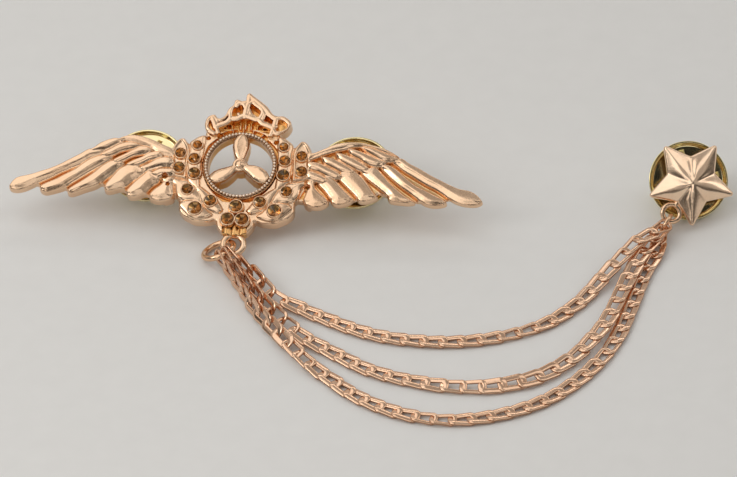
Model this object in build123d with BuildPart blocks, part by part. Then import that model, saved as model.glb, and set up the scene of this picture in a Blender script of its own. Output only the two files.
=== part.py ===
from build123d import *
from math import cos, sin, pi, radians
import os

# Winged collar brooch with a crown and wreath, three hanging chains and a star pin.
# Millimetres, +Z up. The set lies on a flat surface (Z = 0). The brooch leans on the two clutches
# behind it, the chains lie flat, and the star pin leans on the rim of its own clutch.

os.makedirs("parts", exist_ok=True)

# ---- driving dimensions --------------------------------------------------------------------
FACE_ORIGIN = (-18.823, 17.422, 7.98)      # centre of the beaded ring, on the face of the brooch
BADGE_LEAN = 24.0                     # lean of the brooch from flat, degrees
STAR_ORIGIN = (46.1835, 19.2084, 6.4960)
STAR_TURN, STAR_LEAN = 15.0, 46.7     # turn about Z and lean of the star pin

BACK = -2.20          # flat back of the casting, along the face normal
PLATE_TOP = -1.15     # top of the thin plate between feathers
WREATH_TOP = -0.60
CROWN_TOP = -0.25
RING_OUTER, RING_INNER = 5.35, 4.60
PITCH_BEADS, BEAD_COUNT, BEAD_R = 5.0, 60, 0.27
EYE = (0.0, -12.15, -1.30)
EYE_R, EYE_WIRE = 1.47, 0.44

POSTS = {"left": (-13.95, 1.03), "right": (16.19, 1.03)}
STAR_POST = (-0.10, 0.3366)
POST_R, POST_TIP, GROOVE_R = 0.55, -8.20, 0.42

CUP_R, CUP_TOP, CUP_BOTTOM, CUP_WALL, CUP_EDGE = 5.70, -3.20, -4.25, 0.33, 0.78
CUP_HOLE = 0.60
TOOTH_R, TOOTH_H, TOOTH_W = 4.15, 0.80, 0.95
CHEEK_IN, CHEEK_OUT = 1.85, 2.20
PIVOT_A, PIVOT_N = 1.50, -5.20
TRUNNION_R, TRUNNION_HOLE = 0.22, 0.27
WING_W, WING_T, TIP_R = 3.50, 0.30, 1.75
TIP_CENTRE_N = -7.278
SPRING_WIRE = 0.18

JUMP_C, JUMP_N, JUMP_R, JUMP_WIRE = (-20.8820, 6.1050, 1.3320), (-0.327874, 0.211919, 0.920646), 2.25, 0.45
SRING_C, SRING_N, SRING_R, SRING_WIRE = (42.7209, 15.3169, 1.7110), (0.862113, -0.318884, -0.393794), 1.45, 0.25

LINK_A, LINK_B, LINK_H, LINK_CORNER, LINK_WIRE, LINK_FLAT = 1.66, 0.93, 0.40, 0.65, 0.44, 0.42

# ---- outlines on the brooch face (a along the wings, b towards the crown) ----------------------
LEFT_FLIGHT = [
    [(-21.99, 1.93), (-23.36, 1.08), (-24.74, 0.22), (-26.11, -0.63), (-27.50, -1.33), (-28.91, -1.87), (-30.31, -2.40), (-31.72, -2.78), (-32.42, -3.13), (-32.94, -3.79), (-33.18, -4.44), (-32.85, -4.90), (-31.97, -5.03), (-30.84, -4.74), (-29.73, -4.14), (-28.77, -3.54), (-27.38, -2.84), (-26.00, -1.99), (-24.61, -1.29), (-22.53, -0.25), (-21.57, 0.43), (-19.89, 1.06), (-19.97, 2.02)],
    [(-21.56, 0.35), (-22.52, -0.33), (-23.87, -1.50), (-25.25, -2.36), (-26.62, -3.21), (-28.01, -3.91), (-28.69, -4.41), (-28.50, -4.97), (-27.75, -5.26), (-26.62, -4.97), (-25.22, -4.43), (-24.40, -3.76), (-23.04, -2.74), (-21.68, -1.73), (-19.77, -0.37), (-18.68, 0.47), (-19.87, 0.90)],
    [(-19.61, -0.53), (-20.94, -1.86), (-22.29, -3.03), (-23.66, -4.05), (-24.47, -4.72), (-24.57, -5.21), (-23.84, -5.34), (-22.16, -4.63), (-20.48, -3.92), (-19.41, -2.92), (-18.46, -2.08), (-17.67, -1.25), (-16.87, -0.41), (-18.07, 0.18)],
    [(-17.24, -1.15), (-18.28, -2.55), (-19.18, -3.87), (-19.27, -4.51), (-18.67, -4.80), (-17.40, -4.43), (-16.28, -3.91), (-15.35, -2.91), (-13.98, -2.06), (-14.05, -1.26), (-15.42, -0.36)],
    [(-13.83, -2.05), (-14.76, -3.05), (-15.68, -4.20), (-16.06, -4.86), (-15.72, -5.48), (-14.70, -5.52), (-13.45, -4.91), (-12.53, -3.75), (-11.59, -2.92), (-11.80, -2.13), (-13.02, -1.38)],
    [(-10.97, -3.37), (-12.05, -4.37), (-12.69, -5.36), (-12.36, -5.83), (-11.18, -6.10), (-9.76, -5.72), (-9.22, -5.22), (-9.45, -4.27), (-9.53, -3.31), (-9.47, -2.35), (-10.91, -2.41)],
]
LEFT_COVERTS = [
    [(-18.07, 3.53), (-16.39, 4.24), (-14.20, 4.01), (-11.95, 3.14), (-9.98, 2.10), (-9.76, 1.15), (-11.81, 1.39), (-13.33, 2.29), (-14.83, 2.87), (-17.04, 3.42)],
    [(-21.82, 1.62), (-21.55, 1.87), (-20.61, 2.79), (-19.22, 3.49), (-18.23, 3.69), (-17.04, 3.34), (-17.73, 2.91), (-18.83, 2.22), (-19.80, 1.70), (-21.37, 1.48)],
    [(-20.03, 1.06), (-18.80, 1.90), (-17.70, 2.59), (-16.28, 2.97), (-14.96, 2.70), (-14.93, 2.38), (-17.33, 1.65), (-18.57, 0.95), (-19.71, 0.67)],
    [(-18.22, 0.17), (-16.84, 1.03), (-15.47, 1.88), (-14.50, 2.40), (-13.32, 2.13), (-13.26, 1.49), (-14.26, 1.29), (-15.68, 0.91), (-16.78, 0.23), (-18.03, -0.30)],
    [(-16.28, -0.55), (-15.32, 0.13), (-14.21, 0.65), (-13.25, 1.33), (-11.96, 1.54), (-11.48, 0.92), (-13.17, 0.38), (-14.27, -0.31), (-15.53, -0.76)],
    [(-14.35, -1.03), (-13.12, -0.26), (-12.16, 0.42), (-11.03, 0.78), (-9.85, 0.51), (-9.77, -0.44), (-11.20, -0.66), (-12.33, -1.03), (-13.60, -1.40)],
    [(-12.54, -1.92), (-11.87, -1.33), (-10.87, -1.13), (-9.56, -1.24), (-9.51, -1.87), (-11.08, -2.10), (-11.78, -2.37)],
]
RIGHT_FLIGHT = [
    [(21.76, 1.64), (22.69, 0.88), (23.78, 0.05), (25.30, -0.85), (26.82, -1.75), (28.33, -2.49), (29.55, -3.24), (30.48, -3.92), (31.54, -4.51), (32.87, -4.86), (34.32, -4.88), (35.16, -4.53), (35.27, -4.04), (34.47, -3.11), (33.40, -2.52), (31.93, -2.26), (30.44, -1.68), (28.93, -0.94), (27.42, -0.20), (25.89, 0.69), (24.38, 1.43), (23.16, 2.18)],
    [(20.25, 0.62), (21.69, -0.92), (23.25, -2.29), (24.79, -3.35), (26.02, -4.26), (27.10, -5.01), (28.57, -5.27), (29.99, -4.98), (30.09, -4.41), (28.72, -3.67), (26.91, -2.78), (25.40, -2.05), (23.85, -0.83), (22.44, 0.39), (21.24, 0.98)],
    [(17.43, -0.29), (18.85, -1.67), (20.40, -2.89), (21.49, -3.80), (22.01, -4.74), (23.48, -5.00), (24.93, -5.02), (25.63, -4.75), (24.56, -4.16), (23.33, -3.25), (21.77, -1.87), (20.65, -0.64), (19.54, 0.43), (18.12, 0.21)],
    [(14.18, -1.22), (15.62, -2.77), (16.88, -3.99), (17.53, -4.93), (18.41, -5.05), (19.54, -4.68), (20.22, -4.18), (19.43, -3.41), (18.45, -2.01), (17.33, -0.78), (16.11, -0.03), (14.71, -0.56)],
    [(11.36, -2.14), (12.49, -3.53), (13.31, -4.62), (13.67, -5.40), (14.56, -5.77), (15.84, -5.47), (16.66, -4.80), (16.17, -4.18), (15.06, -3.11), (13.95, -1.87), (12.73, -1.12)],
    [(9.92, -2.20), (10.03, -3.47), (9.82, -4.44), (9.61, -5.41), (10.24, -6.02), (11.28, -6.30), (12.42, -6.09), (13.23, -5.42), (12.89, -4.80), (11.80, -3.88), (11.00, -2.95), (10.76, -1.84)],
]
RIGHT_COVERTS = [
    [(9.55, 2.26), (10.54, 2.46), (11.93, 3.16), (13.32, 3.86), (14.74, 4.23), (16.90, 4.32), (19.11, 3.93), (20.59, 3.51), (22.10, 2.78), (22.87, 2.17), (21.39, 2.59), (19.45, 3.31), (18.41, 3.58), (17.24, 3.70), (15.81, 3.48), (14.83, 3.12), (13.42, 2.74), (12.01, 2.20), (10.62, 1.51), (9.64, 1.15)],
    [(17.26, 3.54), (18.42, 3.50), (19.90, 3.09), (21.40, 2.51), (22.59, 2.08), (22.34, 1.59), (20.76, 1.44), (19.56, 2.03), (18.03, 2.93)],
    [(15.55, 3.15), (16.72, 3.04), (18.22, 2.46), (19.72, 1.80), (20.91, 1.37), (20.67, 0.80), (19.68, 0.60), (18.20, 0.94), (17.13, 1.61), (15.76, 2.36)],
    [(13.73, 2.43), (14.90, 2.32), (16.55, 1.59), (17.77, 0.84), (18.55, 0.23), (18.16, -0.26), (16.83, 0.00), (15.48, 0.59), (14.10, 1.49)],
    [(11.76, 1.71), (13.22, 1.61), (14.73, 0.88), (15.79, 0.28), (16.57, -0.33), (16.18, -0.82), (14.71, -0.56), (13.50, 0.03), (12.13, 0.77)],
    [(9.81, 0.83), (11.41, 0.74), (12.92, 0.00), (14.13, -0.59), (14.76, -1.20), (14.22, -1.62), (12.74, -1.28), (11.23, -0.55), (9.89, -0.12)],
    [(9.79, -0.61), (11.11, -0.87), (12.32, -1.46), (12.95, -2.07), (12.40, -2.42), (11.22, -2.15), (9.88, -1.72)],
]
CROWN = [(-4.11, 4.58), (-5.03, 5.18), (-5.51, 5.65), (-5.72, 6.44), (-5.38, 7.57), (-4.40, 8.01), (-3.92, 7.47), (-3.34, 7.49), (-2.81, 7.99), (-2.45, 8.97), (-1.79, 9.63), (-1.70, 10.28), (-1.28, 10.53), (-0.54, 10.32), (-0.18, 11.14), (0.36, 11.64), (0.98, 11.19), (2.21, 10.28), (3.15, 9.52), (3.96, 8.43), (4.72, 8.06), (5.73, 8.10), (6.65, 7.42), (6.85, 6.79), (6.35, 5.81), (5.40, 5.13), (4.41, 4.77)]
LEFT_PLATE = [(-33.03, -4.45), (-32.70, -3.60), (-31.72, -2.95), (-30.31, -2.55), (-28.91, -2.02),
              (-27.50, -1.48), (-26.11, -0.78), (-24.74, 0.07), (-23.36, 0.93), (-21.99, 1.78),
              (-21.00, 2.40), (-20.20, 2.85), (-19.20, 3.30), (-17.90, 3.65), (-16.39, 4.05),
              (-14.20, 3.85), (-11.95, 3.00), (-9.00, 2.00), (-8.00, 0.00), (-8.00, -4.50),
              (-8.96, -4.85), (-9.64, -5.35), (-10.60, -6.00), (-12.08, -5.60), (-13.14, -5.00),
              (-14.28, -5.20), (-15.45, -5.10), (-16.37, -4.50), (-17.40, -4.30), (-19.01, -4.12),
              (-19.78, -3.50), (-20.90, -4.05), (-23.01, -4.76), (-24.15, -4.88), (-25.21, -4.36),
              (-26.19, -4.72), (-27.34, -4.93), (-28.23, -4.65), (-29.01, -3.95), (-29.87, -4.00),
              (-31.00, -4.45), (-32.43, -4.68)]
RIGHT_PLATE = [(35.05, -4.30), (34.40, -3.30), (33.40, -2.70), (31.93, -2.42), (30.44, -1.84),
               (28.93, -1.10), (27.42, -0.36), (25.89, 0.53), (24.38, 1.28), (22.90, 2.05),
               (22.10, 2.65), (20.59, 3.36), (19.11, 3.78), (16.90, 4.16), (14.74, 4.06),
               (13.32, 3.70), (11.93, 3.00), (10.54, 2.30), (9.00, 2.00), (8.00, 0.00),
               (8.00, -4.50), (9.30, -5.06), (10.06, -5.50), (11.11, -5.92), (12.11, -5.72),
               (12.92, -5.05), (13.34, -4.88), (14.38, -5.15), (15.66, -4.93), (16.61, -4.10),
               (17.18, -4.08), (18.22, -4.35), (19.36, -4.14), (20.03, -3.50), (20.46, -3.47),
               (21.81, -4.05), (23.30, -4.47), (25.48, -4.62), (27.66, -4.68), (29.11, -4.78),
               (30.08, -4.19), (31.22, -3.99), (32.70, -4.41), (34.58, -4.40)]
WREATH_HALF = [(4.6, 5.6), (5.4, 4.6), (6.0, 4.3), (6.9, 4.1), (7.4, 3.4), (7.9, 3.6), (8.6, 3.7),
               (9.3, 3.0), (9.7, 2.0), (9.9, 0.5), (9.8, -1.5), (9.5, -2.8), (8.8, -4.35),
               (8.35, -5.2), (8.35, -7.0), (7.7, -8.0), (6.8, -8.55), (5.7, -9.0), (3.9, -8.95),
               (2.9, -8.7), (2.6, -9.6), (1.9, -10.5), (1.2, -10.9), (0.0, -11.0)]
INNER_LINKS = [
    (-18.688, 4.300, 1.822, 0.73489, -0.63443, -0.23963, -0.65189, -0.75827, 0.00835),
    (-16.785, 2.465, 1.635, 0.68790, -0.71680, -0.11400, -0.69869, -0.69651, 0.16341),
    (-14.795, 0.563, 1.395, 0.66234, -0.74574, -0.07186, -0.62365, -0.60196, 0.49871),
    (-13.159, -1.637, 1.244, 0.63149, -0.77291, -0.06186, -0.42352, -0.41064, 0.80747),
    (-11.311, -3.641, 1.049, 0.81542, -0.56084, -0.14335, -0.03373, -0.29325, 0.95544),
    (-8.771, -4.595, 0.686, 0.91590, -0.38610, -0.10984, 0.08074, -0.09083, 0.99259),
    (-6.330, -5.879, 0.538, 0.89895, -0.43477, -0.05350, 0.04698, -0.02573, 0.99856),
    (-3.858, -7.026, 0.436, 0.89431, -0.44744, -0.00256, 0.00229, -0.00115, 1.00000),
    (-1.401, -8.250, 0.440, 0.90813, -0.41870, 0.00068, -0.00062, 0.00029, 1.00000),
    (1.126, -9.324, 0.440, 0.93687, -0.34968, 0.00000, -0.00000, 0.00000, 1.00000),
    (3.739, -10.168, 0.440, 0.96766, -0.25225, 0.00000, -0.00000, 0.00000, 1.00000),
    (6.431, -10.707, 0.440, 0.98885, -0.14894, -0.00000, 0.00000, -0.00000, 1.00000),
    (9.162, -10.985, 0.440, 0.99743, -0.07168, -0.00000, 0.00000, -0.00000, 1.00000),
    (11.905, -11.100, 0.440, 0.99998, 0.00604, 0.00000, 0.00000, 0.00000, 1.00000),
    (14.647, -10.952, 0.440, 0.99469, 0.10293, 0.00000, 0.00000, 0.00000, 1.00000),
    (17.360, -10.535, 0.440, 0.98000, 0.19900, 0.00000, -0.00000, -0.00000, 1.00000),
    (20.022, -9.860, 0.440, 0.95705, 0.28993, 0.00000, 0.00000, 0.00000, 1.00000),
    (22.610, -8.945, 0.440, 0.92382, 0.38283, -0.00000, 0.00000, 0.00000, 1.00000),
    (25.087, -7.761, 0.440, 0.87148, 0.49043, 0.00000, 0.00000, 0.00000, 1.00000),
    (27.385, -6.258, 0.440, 0.78688, 0.61710, 0.00000, 0.00000, 0.00000, 1.00000),
    (29.392, -4.385, 0.440, 0.67217, 0.74040, -0.00228, 0.00153, 0.00169, 1.00000),
    (31.086, -2.234, 0.488, 0.63446, 0.77287, -0.01136, -0.02040, 0.03143, 0.99930),
    (32.619, 0.062, 0.551, 0.52770, 0.84615, 0.07458, -0.03866, -0.06378, 0.99721),
    (33.963, 2.432, 0.838, 0.51356, 0.84368, 0.15642, -0.08133, -0.13361, 0.98769),
    (35.399, 4.703, 1.402, 0.54529, 0.81342, 0.20250, -0.11275, -0.16820, 0.97928),
    (36.910, 6.967, 1.939, 0.54988, 0.81386, 0.18780, -0.11214, -0.15088, 0.98217),
    (38.406, 9.296, 2.359, 0.58142, 0.79409, 0.17712, -0.13955, -0.11714, 0.98326),
    (40.220, 11.256, 2.588, 0.70829, 0.70417, -0.04978, -0.00033, 0.07085, 0.99749),
    (42.011, 13.333, 2.425, 0.69041, 0.72153, -0.05220, 0.01367, 0.05913, 0.99816),
]
MIDDLE_LINKS = [
    (-19.183, 3.611, 2.054, 0.59257, -0.78832, -0.16558, -0.79944, -0.60074, -0.00088),
    (-17.573, 1.462, 1.569, 0.59356, -0.79746, -0.10835, -0.80093, -0.59850, 0.01735),
    (-15.916, -0.765, 1.363, 0.58135, -0.81241, -0.04487, -0.80605, -0.58257, 0.10442),
    (-14.338, -3.058, 1.319, 0.58714, -0.80914, -0.02370, -0.74522, -0.55172, 0.37450),
    (-12.641, -5.275, 1.274, 0.65717, -0.75371, 0.00656, -0.57310, -0.49400, 0.65384),
    (-10.796, -7.344, 1.153, 0.67071, -0.74117, -0.02861, -0.33115, -0.33374, 0.88259),
    (-8.915, -9.394, 1.071, 0.69014, -0.72266, -0.03835, -0.12446, -0.17072, 0.97743),
    (-6.961, -11.373, 0.950, 0.79053, -0.60479, -0.09637, 0.05148, -0.09117, 0.99450),
    (-4.604, -12.831, 0.647, 0.85884, -0.50669, -0.07527, 0.06400, -0.03964, 0.99716),
    (-2.215, -14.259, 0.481, 0.84589, -0.53304, -0.01865, 0.01026, -0.01870, 0.99977),
    (0.117, -15.750, 0.439, 0.84245, -0.53878, -0.00031, 0.00026, -0.00017, 1.00000),
    (2.483, -17.218, 0.440, 0.88036, -0.47431, 0.00021, -0.00018, 0.00010, 1.00000),
    (5.044, -18.313, 0.441, 0.92980, -0.36799, -0.00725, 0.00784, 0.00013, 0.99997),
    (7.685, -19.215, 0.444, 0.96410, -0.26552, -0.00153, 0.00158, 0.00001, 1.00000),
    (10.404, -19.853, 0.484, 0.97344, -0.22729, 0.02754, -0.03874, -0.04497, 0.99824),
    (13.084, -20.480, 0.581, 0.98397, -0.17338, 0.04175, -0.06487, -0.12989, 0.98940),
    (15.844, -20.828, 0.664, 0.99725, -0.06872, 0.02774, -0.04136, -0.20555, 0.97777),
    (18.626, -20.862, 0.735, 0.99886, 0.04022, 0.02584, -0.01373, -0.27641, 0.96094),
    (21.397, -20.604, 0.808, 0.98384, 0.17722, 0.02560, 0.03696, -0.34087, 0.93938),
    (24.083, -19.879, 0.877, 0.94982, 0.31223, 0.01888, 0.10035, -0.36134, 0.92702),
    (26.677, -18.869, 0.913, 0.87852, 0.47770, 0.00098, 0.16258, -0.30091, 0.93969),
    (28.935, -17.241, 0.883, 0.75198, 0.65886, -0.02062, 0.18554, -0.18154, 0.96572),
    (30.844, -15.218, 0.798, 0.66008, 0.75109, -0.01258, 0.13862, -0.10532, 0.98473),
    (32.607, -13.063, 0.813, 0.57368, 0.81774, 0.04680, 0.04458, -0.08822, 0.99510),
    (34.026, -10.682, 1.058, 0.50125, 0.86079, 0.08828, -0.04442, -0.07629, 0.99610),
    (35.397, -8.272, 1.304, 0.42264, 0.90419, 0.06176, -0.02615, -0.05595, 0.99809),
    (36.371, -5.666, 1.401, 0.29186, 0.95633, 0.01549, -0.00452, -0.01482, 0.99988),
    (37.018, -2.959, 1.390, 0.21370, 0.97690, -0.00189, 0.00040, 0.00185, 1.00000),
    (37.560, -0.228, 1.390, 0.21000, 0.97770, -0.00060, 0.00013, 0.00059, 1.00000),
    (38.165, 2.491, 1.389, 0.22115, 0.97523, 0.00384, 0.00228, -0.00446, 0.99999),
    (38.862, 5.201, 1.408, 0.25096, 0.96688, 0.04647, -0.02676, -0.04105, 0.99880),
    (39.541, 7.876, 1.569, 0.33576, 0.94107, 0.04052, -0.01362, -0.03817, 0.99918),
    (40.644, 10.431, 1.638, 0.40568, 0.91379, 0.02042, -0.00828, -0.01866, 0.99979),
    (41.800, 12.963, 1.682, 0.41290, 0.90972, 0.04381, -0.01811, -0.03989, 0.99904),
]
OUTER_LINKS = [
    (-20.135, 3.338, 1.782, 0.53947, -0.82904, -0.14720, -0.83817, -0.54541, 0.00000),
    (-18.675, 1.058, 1.492, 0.53737, -0.83935, -0.08193, -0.84129, -0.54031, 0.01739),
    (-17.210, -1.231, 1.336, 0.53075, -0.84684, -0.03425, -0.84400, -0.53179, 0.06972),
    (-15.786, -3.552, 1.306, 0.50880, -0.86088, -0.00193, -0.84763, -0.50136, 0.17365),
    (-14.440, -5.918, 1.325, 0.55139, -0.83425, 0.00205, -0.78432, -0.51755, 0.34202),
    (-12.791, -8.084, 1.317, 0.61182, -0.79099, -0.00396, -0.66952, -0.52052, 0.52992),
    (-11.109, -10.225, 1.304, 0.61946, -0.78500, -0.00689, -0.52210, -0.41853, 0.74313),
    (-9.418, -12.358, 1.279, 0.63033, -0.77590, -0.02580, -0.32563, -0.29440, 0.89849),
    (-7.678, -14.449, 1.163, 0.64901, -0.75833, -0.06100, -0.09287, -0.15855, 0.98297),
    (-5.885, -16.486, 0.947, 0.69794, -0.71007, -0.09318, 0.06532, -0.06645, 0.99565),
    (-3.883, -18.309, 0.657, 0.74154, -0.66392, -0.09663, 0.07199, -0.06445, 0.99532),
    (-1.718, -20.063, 0.464, 0.77061, -0.63730, 0.00123, -0.00402, -0.00292, 0.99999),
    (0.220, -21.872, 0.440, 0.77928, -0.62667, 0.00347, -0.00271, 0.00218, 0.99999),
    (2.393, -23.511, 0.440, 0.83123, -0.55594, 0.00000, 0.00000, 0.00000, 1.00000),
    (4.738, -24.895, 0.440, 0.88172, -0.47177, 0.00000, 0.00000, 0.00000, 1.00000),
    (7.190, -26.078, 0.440, 0.92458, -0.38099, 0.00000, 0.00000, 0.00000, 1.00000),
    (9.764, -26.965, 0.440, 0.96280, -0.27021, -0.00000, 0.00000, -0.00000, 1.00000),
    (12.424, -27.547, 0.440, 0.98838, -0.15201, -0.00000, 0.00000, -0.00000, 1.00000),
    (15.135, -27.792, 0.440, 0.99996, -0.00863, 0.00000, 0.00000, 0.00000, 1.00000),
    (17.851, -27.594, 0.440, 0.99052, 0.13737, 0.00000, 0.00000, 0.00000, 1.00000),
    (20.517, -27.045, 0.440, 0.96549, 0.26046, 0.00000, 0.00000, 0.00000, 1.00000),
    (23.098, -26.178, 0.440, 0.92901, 0.37004, 0.00000, 0.00000, 0.00000, 1.00000),
    (25.568, -25.033, 0.440, 0.88275, 0.46985, 0.00000, 0.00000, 0.00000, 1.00000),
    (27.897, -23.624, 0.440, 0.81949, 0.57309, 0.00000, -0.00000, -0.00000, 1.00000),
    (30.020, -21.920, 0.440, 0.73304, 0.68019, 0.00000, 0.00000, 0.00000, 1.00000),
    (31.878, -19.929, 0.440, 0.64853, 0.76119, -0.00000, 0.00000, 0.00000, 1.00000),
    (33.548, -17.779, 0.440, 0.56802, 0.82301, 0.00000, 0.00000, 0.00000, 1.00000),
    (34.966, -15.455, 0.440, 0.50368, 0.86389, 0.00000, 0.00000, 0.00000, 1.00000),
    (36.290, -13.076, 0.440, 0.42711, 0.90420, 0.00000, 0.00000, 0.00000, 1.00000),
    (37.287, -10.543, 0.440, 0.32020, 0.94735, 0.00000, 0.00000, 0.00000, 1.00000),
    (38.031, -7.924, 0.440, 0.23446, 0.97213, 0.00000, 0.00000, 0.00000, 1.00000),
    (38.562, -5.254, 0.440, 0.17991, 0.98368, 0.00000, 0.00000, 0.00000, 1.00000),
    (39.011, -2.569, 0.440, 0.16432, 0.98641, 0.00000, -0.00000, -0.00000, 1.00000),
    (39.457, 0.117, 0.440, 0.15834, 0.98738, 0.00000, -0.00000, -0.00000, 1.00000),
    (39.873, 2.808, 0.440, 0.17123, 0.98523, -0.00048, 0.00008, 0.00047, 1.00000),
    (40.379, 5.454, 0.478, 0.21069, 0.97740, 0.01708, -0.02694, -0.01166, 0.99957),
    (41.154, 8.110, 0.591, 0.31532, 0.94758, 0.05159, 0.03038, -0.06441, 0.99746),
    (41.797, 10.759, 0.705, 0.09129, 0.99568, 0.01683, -0.01337, -0.01568, 0.99979),
    (41.847, 13.506, 0.878, -0.05837, 0.99004, 0.12809, -0.01042, -0.12891, 0.99160),
]

# seat centre a, b and mouth radius; mirrored left to right
SEATS = [(6.30, 2.95, 0.68), (6.50, 0.80, 0.80), (6.40, -1.40, 0.85), (8.80, 1.60, 0.78),
         (8.97, -0.60, 0.82), (7.24, -4.08, 0.80), (5.73, -7.12, 1.00), (3.76, -5.76, 0.87)]
TREFOIL = [(0.0, -6.65), (1.05, -8.68), (-1.05, -8.68)]
CROWN_PITS = [(-3.38, 7.75, 0.60), (-1.59, 8.78, 0.62), (0.02, 9.75, 0.55), (1.35, 9.06, 0.80),
              (3.35, 7.87, 0.70), (-4.95, 6.55, 0.50), (5.75, 6.60, 0.70)]
CROWN_ARCADE = [(-3.45, 5.75, 0.42), (-2.30, 6.35, 0.45), (-1.05, 6.60, 0.48), (0.25, 6.80, 0.50),
                (1.60, 6.55, 0.48), (2.95, 5.95, 0.45)]

# ---- frames ----------------------------------------------------------------------------------
tb = radians(BADGE_LEAN)
face = Plane(origin=FACE_ORIGIN, x_dir=(1, 0, 0), z_dir=(0, -sin(tb), cos(tb)))
ta, ts = radians(STAR_TURN), radians(STAR_LEAN)
star_x = Vector(cos(ta), sin(ta), 0)
star_y = Vector(-sin(ta) * cos(ts), cos(ta) * cos(ts), sin(ts))
star_face = Plane(origin=STAR_ORIGIN, x_dir=star_x, z_dir=star_x.cross(star_y))


def on(plane, a, b, n=0.0):
    """A copy of the plane moved to the local point (a, b, n)."""
    p = plane.from_local_coords(Vector(a, b, n))
    return Plane(origin=p, x_dir=plane.x_dir, z_dir=plane.z_dir)


# ---- brooch casting ----------------------------------------------------------------------------
with BuildPart(face) as badge_casting:
    # thin plates under the feathers
    for outline in (LEFT_PLATE, RIGHT_PLATE):
        with BuildSketch(face.offset(BACK)):
            with BuildLine():
                Polyline(*outline, close=True)
            make_face()
        extrude(amount=PLATE_TOP - BACK)
    # feathers, each at its own height so that they step over each other
    for rows, base in (((LEFT_FLIGHT, RIGHT_FLIGHT), -0.62), ((LEFT_COVERTS, RIGHT_COVERTS), -0.36)):
        for row in rows:
            for i, outline in enumerate(row):
                with BuildSketch(face.offset(BACK + 0.25)):
                    with BuildLine():
                        Polyline(*outline, close=True)
                    make_face()
                extrude(amount=base + 0.045 * i - BACK - 0.25)
    # wreath plate and pierced ring
    with BuildSketch(face.offset(BACK)):
        with BuildLine():
            Polyline(*(WREATH_HALF + [(-x, y) for x, y in reversed(WREATH_HALF[:-1])]), close=True)
        make_face()
        Circle(RING_OUTER)
        Circle(RING_INNER, mode=Mode.SUBTRACT)
    extrude(amount=WREATH_TOP - BACK)
    with BuildSketch(face.offset(BACK)):
        Circle(RING_OUTER)
        Circle(RING_INNER, mode=Mode.SUBTRACT)
    extrude(amount=0.0 - BACK)
    # crown above the ring
    with BuildSketch(face.offset(BACK)):
        with BuildLine():
            Polyline(*CROWN, close=True)
        make_face()
    extrude(amount=CROWN_TOP - BACK)
    with BuildSketch(face.offset(BACK)):
        Circle(RING_INNER)
    extrude(amount=0.5 - BACK, mode=Mode.SUBTRACT)
    for x, y, r in CROWN_PITS + CROWN_ARCADE:
        with Locations((x, y, CROWN_TOP - 0.45)):
            Cylinder(r, 1.0, mode=Mode.SUBTRACT)
    # collets of the wreath, trefoil, and their conical seats
    for x, y, r in SEATS:
        with Locations((x, y, BACK / 2), (-x, y, BACK / 2)):
            Cylinder(r + 0.33, -BACK)
    for x, y in TREFOIL:
        with Locations((x, y, (0.10 + BACK) / 2)):
            Cylinder(1.18, 0.10 - BACK)
    for x, y, r in SEATS:
        with Locations((x, y, -0.44), (-x, y, -0.44)):
            Cone(0.12, r, 0.90, mode=Mode.SUBTRACT)
    for x, y in TREFOIL:
        with Locations((x, y, -0.39)):
            Cone(0.12, 0.95, 1.00, mode=Mode.SUBTRACT)
    # relief behind the foot of the trefoil, where the jump ring swings past
    with Locations((-0.8, -11.0, -2.25)):
        Box(2.4, 1.2, 0.90, mode=Mode.SUBTRACT)
    # suspension eye under the trefoil
    with Locations(EYE):
        Torus(EYE_R, EYE_WIRE)
    # propeller emblem: a hub and three blades joined to the ring
    with BuildSketch(face.offset(-1.70)):
        Circle(1.25)
        for ang in (90, 210, 330):
            c, s = cos(radians(ang)), sin(radians(ang))
            blade = [(0.0, 0.75), (1.4, 0.70), (2.6, 1.02), (3.8, 1.05), (4.5, 0.75), (4.85, 0.45),
                     (4.85, -0.45), (4.5, -0.75), (3.8, -1.05), (2.6, -1.02), (1.4, -0.70), (0.0, -0.75)]
            with BuildLine():
                Polyline(*[(u * c - v * s, u * s + v * c) for u, v in blade], close=True)
            make_face()
    extrude(amount=1.95)
    # beads
    with PolarLocations(PITCH_BEADS, BEAD_COUNT):
        Sphere(BEAD_R)
badge_casting.part.label = "badge_casting"
export_step(badge_casting.part, "parts/badge_casting.step")

# ---- star casting ------------------------------------------------------------------------------
STAR_TIPS, STAR_INNER, STAR_BACK, STAR_EDGE, STAR_PEAK, STAR_EYE = 6.30, 3.55, -1.60, -0.95, 0.75, (-3.45, -4.12, -1.10)
star_outline = []
for k in range(5):
    for r, off in ((STAR_TIPS, 0), (STAR_INNER, 36)):
        ang = radians(-24.6 + 72 * k + off)
        star_outline.append((r * cos(ang), r * sin(ang)))

with BuildPart(star_face) as star_casting:
    with BuildSketch(star_face.offset(STAR_BACK)):
        with BuildLine():
            Polyline(*star_outline, close=True)
        make_face()
    extrude(amount=STAR_EDGE - STAR_BACK)
    with BuildSketch(star_face.offset(STAR_EDGE)):
        with BuildLine():
            Polyline(*star_outline, close=True)
        make_face()
    with BuildSketch(star_face.offset(STAR_PEAK)):
        with BuildLine():
            Polyline(*[(x * 0.03, y * 0.03) for x, y in star_outline], close=True)
        make_face()
    loft(ruled=True)
    with Locations(STAR_EYE):
        Torus(1.25, 0.36)
    # lug between the star and its eye
    with BuildSketch(on(star_face, -2.50, -2.90, -1.55)):
        Rectangle(0.9, 1.3, rotation=-37)
    extrude(amount=0.75)
star_casting.part.label = "star_casting"
export_step(star_casting.part, "parts/star_casting.step")


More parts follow.
